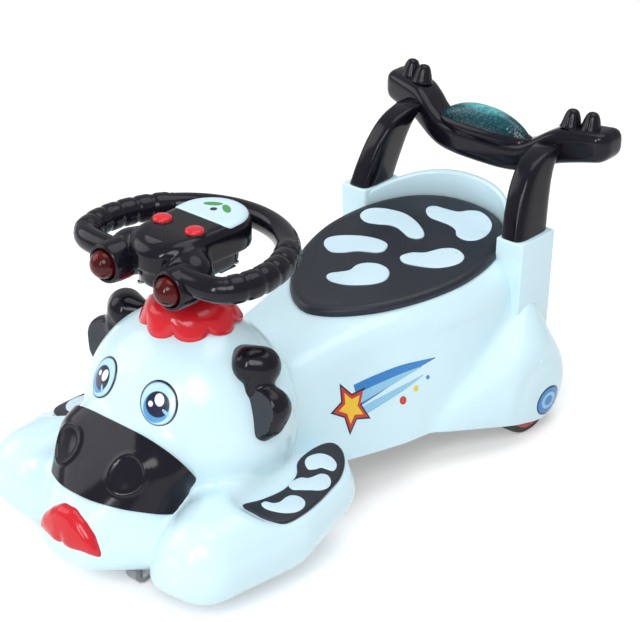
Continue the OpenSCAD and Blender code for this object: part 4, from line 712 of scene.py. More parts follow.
def buildLip():
    inner, outer = lip["grow"]
    tuckIn, tuckOut = lip["tuck"]
    y0, z0 = lip["start"]
    rise = tan(radians(lip["rise"]))
    rings = []
    for k in range(lip["steps"] + 1):
        angle = radians(lip["from"] + (180 - 2 * lip["from"]) * k / lip["steps"])
        topIn = onDeck(*seatPoint(angle, inner + tuckIn), lip["crest"])
        topOut = onDeck(*seatPoint(angle, outer - tuckOut), lip["crest"])
        ring = [onDeck(*seatPoint(angle, inner), lip["foot"][0])]
        for t in range(lip["arc"] + 1):  # round top edge
            turn = pi * (1 - t / lip["arc"])
            mix = topIn.lerp(topOut, 0.5 + 0.5 * cos(turn))
            high = z0 + rise * (mix.y / mm - y0) - lip["round"] * (1 - sin(turn))
            ring.append(Vector((mix.x, mix.y, high * mm)))
        ring.append(onDeck(*seatPoint(angle, outer), lip["foot"][1]))
        rings.append(ring)
    return ringLoft(rings)


# post sockets; steps are height, share of the flare, inset of the corners
socket = {
    "at": (127.3, 275), "half": (20.7, 34), "edge": 3, "flare": -4,
    "steps": [(110, 1, 0), (180, 0.5, 0), (248, 0, 0), (249.4, 0, 0.5), (250, 0, 1.6)],
}


def buildSocket(side):
    s = socket
    reachX, reachY = (half - s["edge"] for half in s["half"])
    rings = []
    for z, share, inset in s["steps"]:
        r = s["edge"] - inset
        middle = s["at"][0] + s["flare"] * share
        ring = []
        for cx, cy, start in ((1, 1, 0), (-1, 1, 90), (-1, -1, 180), (1, -1, 270)):
            for a in range(start, start + 91, 15):
                x = middle + cx * reachX + r * cosOf(a)
                ring.append(vec(side * x, s["at"][1] + cy * reachY + r * sinOf(a), z))
        rings.append(ring)
    return ringLoft(rings)


shellForms = [openShell(skin.copy())]
for pair in zip(shell["rib"], shell["rib"][1:]):
    shellForms += bothSides(ballHull(pair, 20))
shellForms.append(ringLoft([seatRing(*step) for step in seat["plinth"]]))
shellForms += [buildLip(), buildSocket(1), buildSocket(-1)]
makePiece("shellSkin", gather(shellForms), "shellPale", "upper_shell", crease=50)
print("shell closed with plinth, lip and sockets")

# seat slab: rounded rim and a shallow dish, with five pale spots let in
spotSteps = [(0, 7), (0, 9.9), (-0.5, 10.5), (-1.6, 10.8), (-3.5, 10.9)]
spotOutlines = {
    "rearFar": [(-93, 217), (-98, 232), (-91, 244), (-74, 252), (-49, 255), (-23, 247), (0, 233), (9, 222),
                (5, 213), (-7, 211), (-20, 216), (-34, 221), (-47, 220), (-61, 213), (-77, 209)],
    "rearNear": [(-30, 275), (-35, 285), (-29, 293), (-12, 295), (5, 298), (15, 309), (31, 315), (51, 308),
                 (65, 293), (73, 270), (70, 253), (58, 245), (42, 248), (31, 259), (18, 264), (4, 265),
                 (-16, 266)],
    "midFar": [(-81, 133), (-89, 146), (-84, 159), (-68, 172), (-49, 181), (-29, 184), (-15, 180),
               (-9, 166), (-14, 157), (-24, 152), (-37, 145), (-49, 132), (-63, 125)],
    "midNear": [(20, 162), (17, 170), (23, 182), (35, 190), (41, 200), (47, 211), (59, 220), (73, 218),
                (84, 210), (88, 196), (82, 181), (70, 169), (51, 161), (32, 157)],
    "front": [(-26, 75), (-28, 84), (-20, 94), (-13, 104), (-14, 118), (-8, 129), (5, 136), (21, 135),
              (33, 126), (39, 111), (34, 97), (22, 85), (5, 74), (-14, 70)],
}
slabRings = [seatRing(*step) for step in seat["rim"]]
slabCentre = onDeck(0, seat["y"], seat["rim"][-1][1])
for share in seat["dishShares"]:
    drop = onDeck(0, 0, 0) - onDeck(0, 0, seat["dish"] * (1 - share * share))
    slabRings.append([slabCentre + (p - slabCentre) * share + drop for p in seatRing(*seat["rim"][-1])])
makePiece("seatSlab", ringLoft(slabRings), "slabSatin", "seat_panel")
spotForms = [plateForm(roundOutline(points), spotSteps, onDeck) for points in spotOutlines.values()]
makePiece("seatSpots", gather(spotForms), "spotPale", "seat_spots")


# footrest panels in the foreleg pockets
for side, name in sides:
    panel = plateForm(footOutline, foot["panel"], onFoot)
    beans = gather([plateForm(roundOutline(spot), foot["spot"], onFoot) for spot in foot["spots"]])
    if side < 0:
        panel, beans = mirrored(panel), mirrored(beans)
    makePiece("footPanel" + name, panel, "slabSatin", "foot_panel_" + name.lower())
    stands = ["foot_spots"] if side > 0 else []
    makePiece("footSpots" + name, beans, "spotPale", *stands)
print("seat and footrests done")

# muzzle plate with dished nostrils; cuts are planes, each a point and a normal
muzzle = {
    "grow": 3.5, "voxel": 2.4, "rounds": 5, "thick": 3,
    "cuts": [((0, -295, 164), (0, 0.834, 0.552)), ((0, -301, 101), (0, -0.269, -0.963)),
             ((0, -266, 0), (0, 1, 0))],
    "nostril": {"radius": 21.5, "aim": (0.02, -0.965, 0.26), "dish": 3, "dishPower": 0.8, "rim": 1.8,
                "rimWidth": 2},
}


def pressNostril(vert, side):  # a round dish with a raised rim
    n = muzzle["nostril"]
    aim = Vector((n["aim"][0] * side, *n["aim"][1:]))
    away = vert.co - vec(*shell["snout"][0 if side > 0 else 1][0])
    if away.dot(aim) < 0:
        return
    d = (away - aim * away.dot(aim)).length / mm
    inside = max(0.0, 1 - (d / (n["radius"] - n["rimWidth"])) ** 2)
    rim = n["rim"] * exp(-((d - n["radius"]) / n["rimWidth"]) ** 2)
    vert.co += aim * mm * (rim - n["dish"] * inside ** n["dishPower"])


def buildMuzzle():
    m = muzzle
    snout, jaw, face = ([(c, r + m["grow"]) for c, r in balls]
                        for balls in (shell["snout"], shell["jaw"], [shell["face"]]))
    form = blendUnion([ballHull(snout + jaw, 48), ballHull(snout + face, 48)], m["voxel"], m["rounds"])
    for point, normal in m["cuts"]:
        trim(form, point, normal)
    for vert in form.verts:
        for side, _ in sides:
            pressNostril(vert, side)
    return thicken(form, m["thick"])


makePiece("muzzlePlate", buildMuzzle(), "darkMuzzle", "muzzle", crease=60)

# tongue: a soft heart on the jaw, each ball named with its place (x, z) and radius
tongue = {
    "rise": 6.5, "riseShare": 0.5, "start": -380, "voxel": 1.6, "rounds": 4,
    "balls": {"crown": (6, 95, 13), "brow": (17, 88, 13), "wing": (29, 78, 12), "taper": (38, 70, 8),
              "tip": (44.5, 64.5, 3.5), "heart": (9, 80, 12), "hem": (12, 72, 9)},
    "bridge": ("crown", "brow", "heart", "hem"),
    "groups": [("crown", "brow", "heart"), ("brow", "wing", "heart", "hem"), ("wing", "taper", "hem"),
               ("taper", "tip")],
    "crease": {"deep": 2.5, "broad": 4, "top": 86, "fade": 16},
}


def tongueBall(key, side):
    x, z, r = tongue["balls"][key]
    front = layOn(skinTree, vec(side * x, tongue["start"], z), Vector((0, -1, 0)), 0).y / mm
    return (side * x, front + r - min(tongue["rise"], tongue["riseShare"] * r), z), r


def buildTongue():
    t, crease = tongue, tongue["crease"]
    lobes = [ballHull([tongueBall(key, side) for key in group])
             for side, _ in sides for group in t["groups"]]
    lobes.append(ballHull([tongueBall(key, side) for side, _ in sides for key in t["bridge"]]))
    form = blendUnion(lobes, t["voxel"], t["rounds"])
    for v in form.verts:
        low = min(1.0, max(0.0, (crease["top"] - v.co.z / mm) / crease["fade"]))
        v.co.y += crease["deep"] * mm * low * exp(-(v.co.x / mm / crease["broad"]) ** 2)
    return form


makePiece("tonguePiece", buildTongue(), "redGloss", "tongue")

# ears: a fat upper lobe and a hanging lower lobe whose flat inner face is painted lighter grey, a painted
# reflection
ear = {
    "near": ((100, -192, 244), 22.5), "far": ((108, -185, 243), 22.5), "root": ((85, -187, 245), 16),
    "waist": ((111, -197, 221), 14), "lower": ((131, -196, 203), 24), "heel": ((131, -200, 190), 20),
    "tip": ((130, -206, 177), 11), "voxel": 1.8, "rounds": 5,
    "groups": [("near", "far"), ("near", "far", "root"), ("far", "waist"),
               ("waist", "lower", "heel", "tip")],
    "facet": {"normal": (0, -0.985, 0.174), "at": 15, "top": 226, "near": 1.2, "level": 0.95},
}


def buildEar():
    facet = ear["facet"]
    forms = [ballHull([ear[key] for key in group]) for group in ear["groups"]]
    hanging = forms[-1]
    normal = Vector(facet["normal"])
    point = Vector(ear["lower"][0]) + normal * facet["at"]
    trim(hanging, point, normal)
    bmesh.ops.holes_fill(hanging, edges=[edge for edge in hanging.edges if edge.is_boundary])
    form = blendUnion(forms, ear["voxel"], ear["rounds"])
    form.normal_update()
    for face in form.faces:
        c = face.calc_center_median()
        close = abs((c - point * mm).dot(normal)) < facet["near"] * mm
        if close and face.normal.dot(normal) > facet["level"] and c.z < facet["top"] * mm:
            # faces on the flat inner face take the second finish, a lighter grey painted as a reflection
            face.material_index = 1
    return form


earForm = buildEar()
makePiece("earRight", mirrored(earForm), ["darkGloss", "earPaintedSheen"], "ear_right")
makePiece("earLeft", earForm, ["darkGloss", "earPaintedSheen"], "ear_left")

# scalloped collar under the steering wheel; profile is share of the radius and of the height
wheelY = -200  # the steering axis
collar = {
    "at": (0, -185), "low": 263.5, "top": 298.5, "radius": 55, "bore": 19, "wall": 2.5, "points": 160,
    "lobes": 8, "sharp": 0.7, "notch": 0.144, "notchFade": 1.7, "lift": 6, "sag": 0.0008,
    "profile": [(0.99, 0.0), (1.06, 0.04), (1.07, 0.14), (1.02, 0.3), (0.94, 0.48), (0.84, 0.66),
                (0.72, 0.8), (0.58, 0.92), (0.45, 0.985), (0.34, 1.0)],
}


def buildCollar():
    c = collar
    x0, y0 = c["at"]
    rings = []
    for share, height in c["profile"]:
        notch = c["notch"] * max(0.0, 1 - height * c["notchFade"])
        middle = y0 + (wheelY - y0) * height ** 2
        ring = []
        for a in turns(c["points"]):
            hollow = 1 - abs(cos(c["lobes"] * a / 2)) ** c["sharp"]
            r = c["radius"] * share * (1 - notch * hollow)
            y = r * sin(a)
            low = c["low"] + (c["lift"] * hollow - c["sag"] * y ** 2) * (1 - height)
            ring.append(vec(x0 + r * cos(a), middle + y, low + (c["top"] - c["low"]) * height))
        rings.append(ring)
    rings.append(discPoints((x0, wheelY), c["bore"], c["top"] - 1, c["points"]))
    return thicken(ringLoft(rings, capEnds=False), c["wall"])


makePiece("neckCollar", buildCollar(), "redGloss", "collar", crease=70)
print("face pieces and collar done")

# backrest posts; curve: share of the height, then of the backward reach, the width and the depth
posts = {
    "x": 124.5, "y": 275, "width": 34, "depth": 64, "foot": 250.6, "height": 94, "back": 76, "lean": 14,
    "power": 0.5, "steps": 40, "tenon": [(246, 3), (250.1, 1.5)],
    "curve": [(0, 0, 1, 1), (0.22, 0.08, 0.98, 1.0), (0.46, 0.19, 0.96, 0.97), (0.62, 0.28, 0.94, 0.94),
              (0.8, 0.43, 0.92, 0.88), (0.92, 0.62, 0.9, 0.84), (1, 0.88, 0.88, 0.76)],
}


def buildPost(side):
    p = posts
    halfW, halfD = p["width"] / 2, p["depth"] / 2
    rings = [superRing(side * p["x"], p["y"], z, halfW - inset, halfD - inset, p["power"])
             for z, inset in p["tenon"]]
    for t in (k / p["steps"] for k in range(p["steps"] + 1)):
        back, wide, deep = (curveAt(p["curve"], t, k) for k in (1, 2, 3))
        rings.append(superRing(side * (p["x"] - p["lean"] * t), p["y"] + p["back"] * back,
                               p["foot"] + p["height"] * t, halfW * wide, halfD * deep, p["power"]))
    return ringLoft(rings)


# backrest bar with the lens bed; curve: share of the half width, then y, bottom, top and depth there
bar = {
    "half": 179, "power": 0.55, "edge": 13, "steps": 120,
    "curve": [(0, 354, 290, 331, 46), (0.2, 354, 291, 331, 46), (0.35, 356, 294, 334, 46),
              (0.45, 359, 300, 343, 47), (0.54, 364, 307, 354, 49), (0.64, 370, 314, 362, 50),
              (0.8, 377, 321, 365, 50), (0.92, 382, 325, 366, 48), (1, 385, 328, 366, 44)],
    "bed": [(324, 82, 22), (333, 76, 20.5), (337.5, 73, 18.5), (338.5, 71, 16.5)],
}
barLens = {  # fall: how slowly the length and the depth draw in with the height
    "half": (74, 17.5), "y": 353, "low": 329, "height": 35, "power": 0.86, "rings": 12, "points": 96,
    "fall": (1.6, 2.4),
}


def barRing(share, inset):
    y, low, top, depth = (curveAt(bar["curve"], abs(share), k) for k in (1, 2, 3, 4))
    halfD, halfH, p = depth / 2 - inset, (top - low) / 2 - inset, bar["power"]
    return [vec(share * bar["half"], y + halfD * power(cos(t), p),
                (low + top) / 2 + halfH * power(sin(t), p)) for t in turns(64, 0.5)]


def buildBar():
    edge, steps = bar["edge"], bar["steps"]
    end = 1 - edge / bar["half"]
    tips = [(end + (1 - end) * sinOf(a), edge * (1 - cosOf(a))) for a in range(15, 91, 15)]
    rings = [barRing(-share, inset) for share, inset in reversed(tips)]
    rings += [barRing(-end + 2 * end * k / steps, 0) for k in range(steps + 1)]
    rings += [barRing(*tip) for tip in tips]
    bed = [superRing(0, barLens["y"], z, wide, deep, barLens["power"]) for z, wide, deep in bar["bed"]]
    return gather([ringLoft(rings), ringLoft(bed)])


def buildBarLens():
    lens = barLens
    rings = []
    for k in range(lens["rings"]):
        up = sin(pi / 2 * k / lens["rings"])
        halves = [half * sqrt(1 - up ** fall) for half, fall in zip(lens["half"], lens["fall"])]
        height = lens["low"] + lens["height"] * up
        rings.append(superRing(0, lens["y"], height, *halves, lens["power"], lens["points"]))
    return ringLoft(rings)


# ribbed grip knobs; profile is share of the radius and of the height
knob = {
    "places": ((120, 371), (145, 378)), "low": 361, "radius": 13.5, "height": 24, "lean": 0.2,
    "ribs": 18, "ribDepth": 0.05, "ribbed": (0.12, 0.88),
    "profile": [(1.1, 0), (1.02, 0.07), (0.97, 0.16), (0.9, 0.3), (0.81, 0.5), (0.7, 0.7), (0.57, 0.85),
                (0.42, 0.94), (0.24, 0.985), (0, 1)],
}


def buildKnob(x, y):
    profile = [(knob["radius"] * r, knob["height"] * h) for r, h in knob["profile"]]
    axis = Vector((0, knob["lean"], 1)).normalized()
    form = spinForm(profile, (x, y, knob["low"]), axis, knob["ribs"] * 4)
    at = vec(x, y, knob["low"])
    low, high = knob["ribbed"]
    for v in form.verts:  # upright ribs round the sides
        z = v.co.z - at.z
        if low < z / mm / knob["height"] < high:
            middle = at + Vector((0, z * knob["lean"], z))
            out = v.co - middle
            wave = 0.5 + 0.5 * cos(knob["ribs"] * atan2(out.y, out.x))
            v.co = middle + out * (1 - knob["ribDepth"] * wave)
    return form


knobForms = [buildKnob(side * x, y) for x, y in knob["places"] for side, _ in sides]
for side, name in sides:
    makePiece("post" + name, buildPost(side), "darkGloss", "post_" + name.lower())
makePiece("backrestBar", buildBar(), "darkGloss", "backrest_bar")
makePiece("gripKnobs", gather(knobForms), "darkGloss", "grip_knobs", crease=50)
makePiece("barLens", buildBarLens(), "lensTeal", "backrest_lens", crease=50)
print("backrest done")

# steering wheel: an open ring that runs into the lamp hoods, with a grooved sleeve on each side
wheel = {
    "z": 356, "radius": 120, "tube": 14.5, "gap": 66, "joint": (46, -249.2), "lead": 26, "steps": 210,
    "soft": 44, "softRounds": 60,
}
grip = {"mid": 80, "half": 32, "pitch": 10, "rise": 1.6, "groove": 1.5, "sharp": 6, "fade": 1.5}


def rimPoint(degrees):
    r = wheel["radius"]
    return Vector((r * sinOf(degrees), wheelY - r * cosOf(degrees), wheel["z"]))


def rimPath():  # places along the ring and their angles, nought where it leads into a hood
    w = wheel
    joint, start = Vector((*w["joint"], w["z"])), rimPoint(w["gap"])
    lead = [joint.lerp(start, k / w["lead"]) for k in range(w["lead"])]
    circle = [w["gap"] + (360 - 2 * w["gap"]) * k / w["steps"] for k in range(w["steps"] + 1)]
    path = lead + [rimPoint(a) for a in circle] + [Vector((-p.x, p.y, p.z)) for p in reversed(lead)]
    last = len(path) - 1
    for _ in range(w["softRounds"]):  # the bends into the leads are eased
        eased = [(path[i - 1] + path[i + 1]) / 2 if min(i, last - i) < w["soft"] else path[i]
                 for i in range(1, last)]
        path = [path[0]] + eased + [path[-1]]
    return path, [0] * w["lead"] + circle + [0] * w["lead"]


def sleeveRise(angle):
    away = abs(angle - 180) - grip["mid"]
    inside = grip["half"] - abs(away)
    if not angle or inside <= 0:
        return 0
    groove = (0.5 + 0.5 * cos(2 * pi * away / grip["pitch"])) ** grip["sharp"]
    return min(1, inside / grip["fade"]) * (grip["rise"] - grip["groove"] * groove)


def buildRim():
    path, angles = rimPath()
    upward = Vector((0, 0, 1))
    rings = []
    for i, p in enumerate(path):
        along = (path[min(i + 1, len(path) - 1)] - path[max(i - 1, 0)]).normalized()
        out = along.cross(upward).normalized()
        r = wheel["tube"] + sleeveRise(angles[i])
        rings.append([(p + out * r * cos(t) + upward * r * sin(t)) * mm for t in turns(28)])
    return ringLoft(rings)


# hub: a dome, a tray and a cone below it, brows over the hood necks; steps are (radius, height)
hub = {
    "front": (-214, 43), "rear": (-150, 46), "edge": 12, "low": 348, "top": 385,
    "trayRear": -156, "tray": [(30, 325), (35, 331), (35, 356)], "cone": [(23, 301.5), (33, 328)],
    "brow": [((20, -212, 357), 26), ((46, -229, 350), 27)], "voxel": 2.2, "rounds": 4,
    "dip": {"y": -212, "z": 352, "over": 33, "rate": 0.0046}, "rayFrom": 500, "rayMiss": 360,
}
hood = {  # profile is (radius, place along the lamp)
    "at": (50, -266, 346), "neck": 23, "neckPlaces": (30, 42), "points": 64,
    "profile": [(23, 44), (24.4, 34), (24.8, 22), (24.4, 11), (23.5, 3), (22.6, -0.6), (21.8, -2),
                (20.4, -2.4), (18.8, -1.6), (17.8, 0.6), (17.4, 4), (17.2, 26), (0, 26.2)],
    "lamp": 16.8, "lampBack": [(16.8, 9), (0, 9.2)],
}


def buildNeck(side):
    x, y, z = hood["at"]
    r = hood["neck"]
    tube = [vec(side * x + r * cos(a), y + back, z + r * sin(a))
            for back in hood["neckPlaces"] for a in turns(48)]
    return hullForm(tube + ballsPoints([((side * bx, by, bz), br) for (bx, by, bz), br in hub["brow"]]))


def buildHub():
    h, dip, edge = hub, hub["dip"], hub["edge"]
    dome = []
    for y, radius in (h["front"], h["rear"]):
        dome += discPoints((0, y), radius, h["low"])
        for a in range(0, 91, 10):
            dome += discPoints((0, y), radius - edge + edge * cosOf(a), h["top"] - edge + edge * sinOf(a))
    trayEnds = (h["front"][0], h["trayRear"])
    tray = [p for y in trayEnds for step in h["tray"] for p in discPoints((0, y), *step)]
    cone = [p for step in h["cone"] for p in discPoints((0, wheelY), *step)]
    forms = [hullForm(points) for points in (dome, tray, cone)] + [buildNeck(side) for side, _ in sides]
    form = blendUnion(forms, h["voxel"], h["rounds"])
    for v in form.verts:  # the dome falls away towards the lamps
        _, y, z = v.co / mm
        if z > dip["z"] and y < dip["y"]:
            v.co.z -= dip["rate"] * (dip["y"] - y) ** 2 * min(1, (z - dip["z"]) / dip["over"]) * mm
    return form


def hoodSpin(profile):  # a turned form in both lamp places
    x, y, z = hood["at"]
    return gather([spinForm(profile, (side * x, y, z), (0, 1, 0), hood["points"]) for side, _ in sides])


lampR = hood["lamp"]
lampFront = [(0, -lampR)] + [(lampR * sinOf(a), -lampR * cosOf(a)) for a in range(6, 91, 6)]
lampForm = hoodSpin(lampFront + hood["lampBack"])
makePiece("wheelRim", buildRim(), "darkGloss", "wheel_upper", body="steering")
hubForm = buildHub()
hubTree = BVHTree.FromBMesh(hubForm)
makePiece("wheelHub", hubForm, "darkGloss", "wheel_lower", body="steering")
makePiece("lampHoods", hoodSpin(hood["profile"]), "darkGloss", body="steering", crease=60)
makePiece("lampLenses", lampForm, "lensRed", "lamp_lenses", body="steering")


def onHub(x, y, z):  # a place at height z above the hub's skin
    hit = hubTree.ray_cast(vec(x, y, hub["rayFrom"]), Vector((0, 0, -1)))
    return (hit[0] or vec(x, y, hub["rayMiss"])) + vec(0, 0, z)


# pale panel on the hub: straight front with round corners, round rear
hubPanel = {
    "x": 42.5, "front": -168, "corner": 9, "thick": 1.3, "edge": [(0, -1.5), (0, 0.7), (-0.7, 1.2)],
    "inset": 2.5, "shares": (1, 0.88, 0.76, 0.64, 0.5),
}


def buildPanel():
    p = hubPanel
    x, y0, y1, c = p["x"], p["front"], hub["rear"][0], p["corner"]
    corner = [Vector((x - c + c * cosOf(a), y0 + c + c * sinOf(a))) for a in range(-90, 1, 15)]
    outline = [Vector(((x - c) * (k / 4 - 1), y0)) for k in range(1, 8)] + corner
    outline += [Vector((x * cosOf(a), y1 + x * sinOf(a))) for a in range(0, 181, 6)]
    outline += [Vector((-q.x, q.y)) for q in reversed(corner)]
    rings = [[onHub(q.x, q.y, z) for q in growOutline(outline, grow)] for grow, z in p["edge"]]
    flat = growOutline(outline, -p["inset"])
    middle = sum(flat, Vector((0, 0))) / len(flat)
    for share in p["shares"]:
        rings.append([onHub(*(middle + (q - middle) * share), p["thick"]) for q in flat])
    return ringLoft(rings)


# speaker holes in a grid without its corners, each a near-black disc painted for the shade inside a hole;
# steps are (radius, height)
speaker = {"at": (0, -231), "pitch": 6, "reach": 2, "steps": [(1.5, -0.6), (1.5, 0.15), (0.75, 0.15)]}


def buildSpeakerHoles():
    x0, y0 = speaker["at"]
    pitch, reach = speaker["pitch"], speaker["reach"]
    line = range(-reach, reach + 1)
    forms = []
    for i, j in ((i, j) for i in line for j in line if abs(i) + abs(j) < 2 * reach):
        x, y = x0 + i * pitch, y0 + j * pitch
        forms.append(ringLoft([[onHub(x + r * cos(a), y + r * sin(a), z) for a in turns(16)]
                               for r, z in speaker["steps"]]))
    return gather(forms)


makePiece("hubPanel", buildPanel(), "spotPale", "hub_panel", body="steering")
makePiece("speakerHoles", buildSpeakerHoles(), "holeBlack", body="steering")

# push buttons, each with a ring round it: cap is (share of the radius, height), ring is (grow, height)
button = {
    "at": (25, -200), "radius": 11, "top": 390, "ringTop": 385,
    "cap": [(0, 0), (0.5, -0.2), (0.8, -0.9), (0.94, -2), (1, -3.6), (1, -12), (0, -12)],
    "ring": [(0.6, -3), (0.6, 0.2), (1.1, 0.9), (2.2, 0.9), (2.8, 0), (3, -3)],
}
for side, name in sides:
    at, r = (side * button["at"][0], button["at"][1], 0), button["radius"]
    cap = spinForm([(r * share, button["top"] + h) for share, h in button["cap"]], at, (0, 0, 1))
    node = "button_" + name.lower()
    makePiece("button" + name, cap, "redGloss", node, body=node)
    ring = spinForm([(r + grow, button["ringTop"] + h) for grow, h in button["ring"]], at, (0, 0, 1))
    makePiece("buttonRing" + name, ring, "darkGloss", body="steering")
print("steering wheel done")


# a print: ovals of colour over a ground, placed in the piece's own UV plane
def buildPrint(name, ground, ovals):
    finish, tree, shader = startFinish(name)
    coord = place(tree, "ShaderNodeTexCoord")
    shown = ground
    for x, y, rx, ry, turn, colour in ovals:
        ins = {"Vector": (coord, "UV"), "Location": (x, y, 0), "Rotation": (0, 0, radians(turn)),
               "Scale": (rx, ry, 1)}
        lay = place(tree, "ShaderNodeMapping", ins, vector_type="TEXTURE")
        far = place(tree, "ShaderNodeVectorMath", {0: (lay, 0)}, operation="LENGTH")
        shown = blendTone(spread((far, "Value"), 0.96, 1.04, 1.0, 0.0), shown, colour)
    grain = noise((coord, "Object"), 900.0, 2.0)
    rough = spread(grain, 0.3, 0.7, 0.16, 0.28)
    feed(shader, {"Base Color": shown, "Roughness": rough, "Coat Weight": 0.3})
    return finish


finishes["eyePrint"] = buildPrint("eyePrint", tone(22, 24, 46), [
    (-0.03, -0.03, 0.91, 0.92, 0, tone(190, 230, 246)), (-0.14, -0.2, 0.7, 0.66, 20, tone(84, 158, 214)),
    (-0.05, -0.06, 0.63, 0.57, 0, tone(20, 26, 62)), (0.36, -0.42, 0.22, 0.08, -40, tone(150, 200, 230)),
    (0.06, 0.13, 0.25, 0.28, 0, tone(250, 252, 254)), (-0.42, -0.03, 0.13, 0.13, 0, tone(244, 249, 253))])
eye = {
    "at": (43.7, -281, 212.5), "across": (19.5, 11, 2.5), "up": (-9.4, 10.2, 21.2), "lift": 0.7,
    "thick": 1.2,
}


def sheetForm(outline, lay, thick, uvName=None, rows=8):  # sheet on a skin; outlines run anticlockwise
    form = bmesh.new()
    uv = form.loops.layers.uv.new(uvName) if uvName else None
    middle = sum(outline, Vector((0, 0))) / len(outline)
    flat = {}

    def spot(q):
        v = form.verts.new(lay(q.x, q.y))
        flat[v] = q
        return v
    loops = [[spot(middle + (p - middle) * (1 - k / rows)) for p in outline] for k in range(rows)]
    centre = spot(middle)
    for i in range(len(outline)):
        for a, b in zip(loops, loops[1:]):
            form.faces.new((a[i - 1], a[i], b[i], b[i - 1]))
        form.faces.new((loops[-1][i - 1], loops[-1][i], centre))
    if uv:
        for loop in (loop for face in form.faces for loop in face.loops):
            loop[uv].uv = flat[loop.vert]
    return thicken(form, thick)


def ovalOutline(x, y, rx, ry, count=48):
    return [Vector((x + rx * cos(a), y + ry * sin(a))) for a in turns(count)]


def buildEye(side):
    at, across, up = (Vector(eye[k]) for k in ("at", "across", "up"))
    if side < 0:
        at.x, across.y, across.z, up.x = -at.x, -across.y, -across.z, -up.x
    aim = across.cross(up).normalized()

    def onFace(x, y):
        return layOn(skinTree, (at + across * x + up * y) * mm, aim, eye["lift"])
    return sheetForm(ovalOutline(0, 0, 1, 1, 72), onFace, eye["thick"], "eyePlane")


for side, name in sides:
    makePiece("eye" + name, buildEye(side), "eyePrint")

# plain marks: a shooting star on each flank, rings on the wheel covers, leaves on the wheel's panel
marks = {
    "flank": (22, 122), "cover": (254, 44), "panel": (0, -138), "thick": 0.8, "reach": 240,
    "dotLift": 0.4, "leafLift": 0.3,
    "star": {"at": (-46, -4), "radius": 27, "inner": 0.5, "turn": 12,
             "layers": [(1.16, 0.3, "printNavy"), (1, 0.5, "printRed"), (0.7, 0.7, "printYellow")]},
    "tails": [([(-34, 6, 13), (0, 10, 11), (40, 15, 7), (86, 17, 0.6)], 0.2, "printBlue"),
              ([(-34, 2, 6), (0, 5, 5), (34, 9, 3), (64, 12, 0.5)], 0.4, "printSky"),
              ([(-38, -14, 5), (0, -10, 4.5), (36, -5, 3), (66, 1, 0.5)], 0.2, "printSky")],
    "dots": [(30, -20, 5, "printRed"), (52, -12, 3.6, "printYellow"), (72, -4, 2.6, "printBlue")],
    "rings": [(24, 19, 0.3, "printNavy"), (22, 17, 0.5, "printBlue"), (14, 11, 0.7, "printSky"),
              (8, 6.5, 0.9, "printBlue")],
    "leaves": [(-10.5, 3, 11, 4.5, 35), (10.5, 3, 11, 4.5, -35), (0, -7, 4, 4, 0)],
}


def onSide(s, t, lift):  # a place on the left side, s backwards and t upwards
    return layOn(skinTree, vec(marks["reach"], s, t), Vector((1, 0, 0)), lift)


def sideSheet(outline, lift):
    return sheetForm(outline, lambda s, t: onSide(s, t, lift), marks["thick"])


def tailForm(points, lift, rows=32, columns=8):  # a ribbon that narrows along its curve
    table = [(k / (len(points) - 1), *p) for k, p in enumerate(points)]
    form = bmesh.new()
    y0, z0 = marks["flank"]
    lines = []
    for share in (k / rows for k in range(rows + 1)):
        s, t, half = (curveAt(table, share, c) for c in (1, 2, 3))
        lines.append([form.verts.new(onSide(y0 + s, z0 + t + half * (2 * j / columns - 1), lift))
                      for j in range(columns + 1)])
    for a, b in zip(lines, lines[1:]):
        for j in range(columns):
            form.faces.new((a[j], b[j], b[j + 1], a[j + 1]))
    return thicken(form, marks["thick"])


def starOutline(share):
    star = marks["star"]
    at = Vector(marks["flank"]) + Vector(star["at"])
    points = []
    for k in range(10):
        r = star["radius"] * share * (star["inner"] if k % 2 else 1)
        a = 90 + 36 * k + star["turn"]
        points.append(at + Vector((r * cosOf(a), r * sinOf(a))))
    return [a.lerp(b, k / 4) for a, b in zip(points, points[1:] + points[:1]) for k in range(4)]


def buildFlankMarks():
    y0, z0 = marks["flank"]
    parts = [(tailForm(points, lift), finish) for points, lift, finish in marks["tails"]]
    for share, lift, finish in marks["star"]["layers"]:
        parts.append((sideSheet(starOutline(share), lift), finish))
    for s, t, r, finish in marks["dots"]:
        parts.append((sideSheet(ovalOutline(y0 + s, z0 + t, r, r, 24), marks["dotLift"]), finish))
    return parts


def buildCoverMarks():
    return [(sideSheet(ovalOutline(*marks["cover"], a, b), lift), finish)
            for a, b, lift, finish in marks["rings"]]


def buildPanelMarks():
    lift = hubPanel["thick"] + marks["leafLift"]
    parts = []
    for x, y, a, b, turn in marks["leaves"]:
        spin, at = Matrix.Rotation(radians(turn), 2), Vector(marks["panel"]) + Vector((x, y))
        outline = [spin @ p + at for p in ovalOutline(0, 0, a, b, 32)]
        form = sheetForm(outline, lambda s, t: onHub(s, t, lift), marks["thick"])
        parts.append((form, "printGreen" if turn else "printNavy"))
    return parts


def joinParts(name, parts, body="body", both=True):  # pieces of several colours as one object
    used = sorted({finish for _, finish in parts})
    forms = []
    for form, finish in parts:
        for face in form.faces:
            face.material_index = used.index(finish)
        forms += bothSides(form) if both else [form]
    makePiece(name, gather(forms), used, body=body)


joinParts("flankMarks", buildFlankMarks())
joinParts("coverMarks", buildCoverMarks())
joinParts("panelMarks", buildPanelMarks(), "steering", both=False)
print("eyes and marks laid on")

# CAD pieces that stay take the same finishes
for name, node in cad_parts.items():
    for slot in node.material_slots:
        kind = slot.material.name.split(".")[0] if slot.material else ""
        if kind not in slotFinish:
            print("no finish for", name, kind)
        slot.material = finishes[slotFinish.get(kind, "frameGrey")]

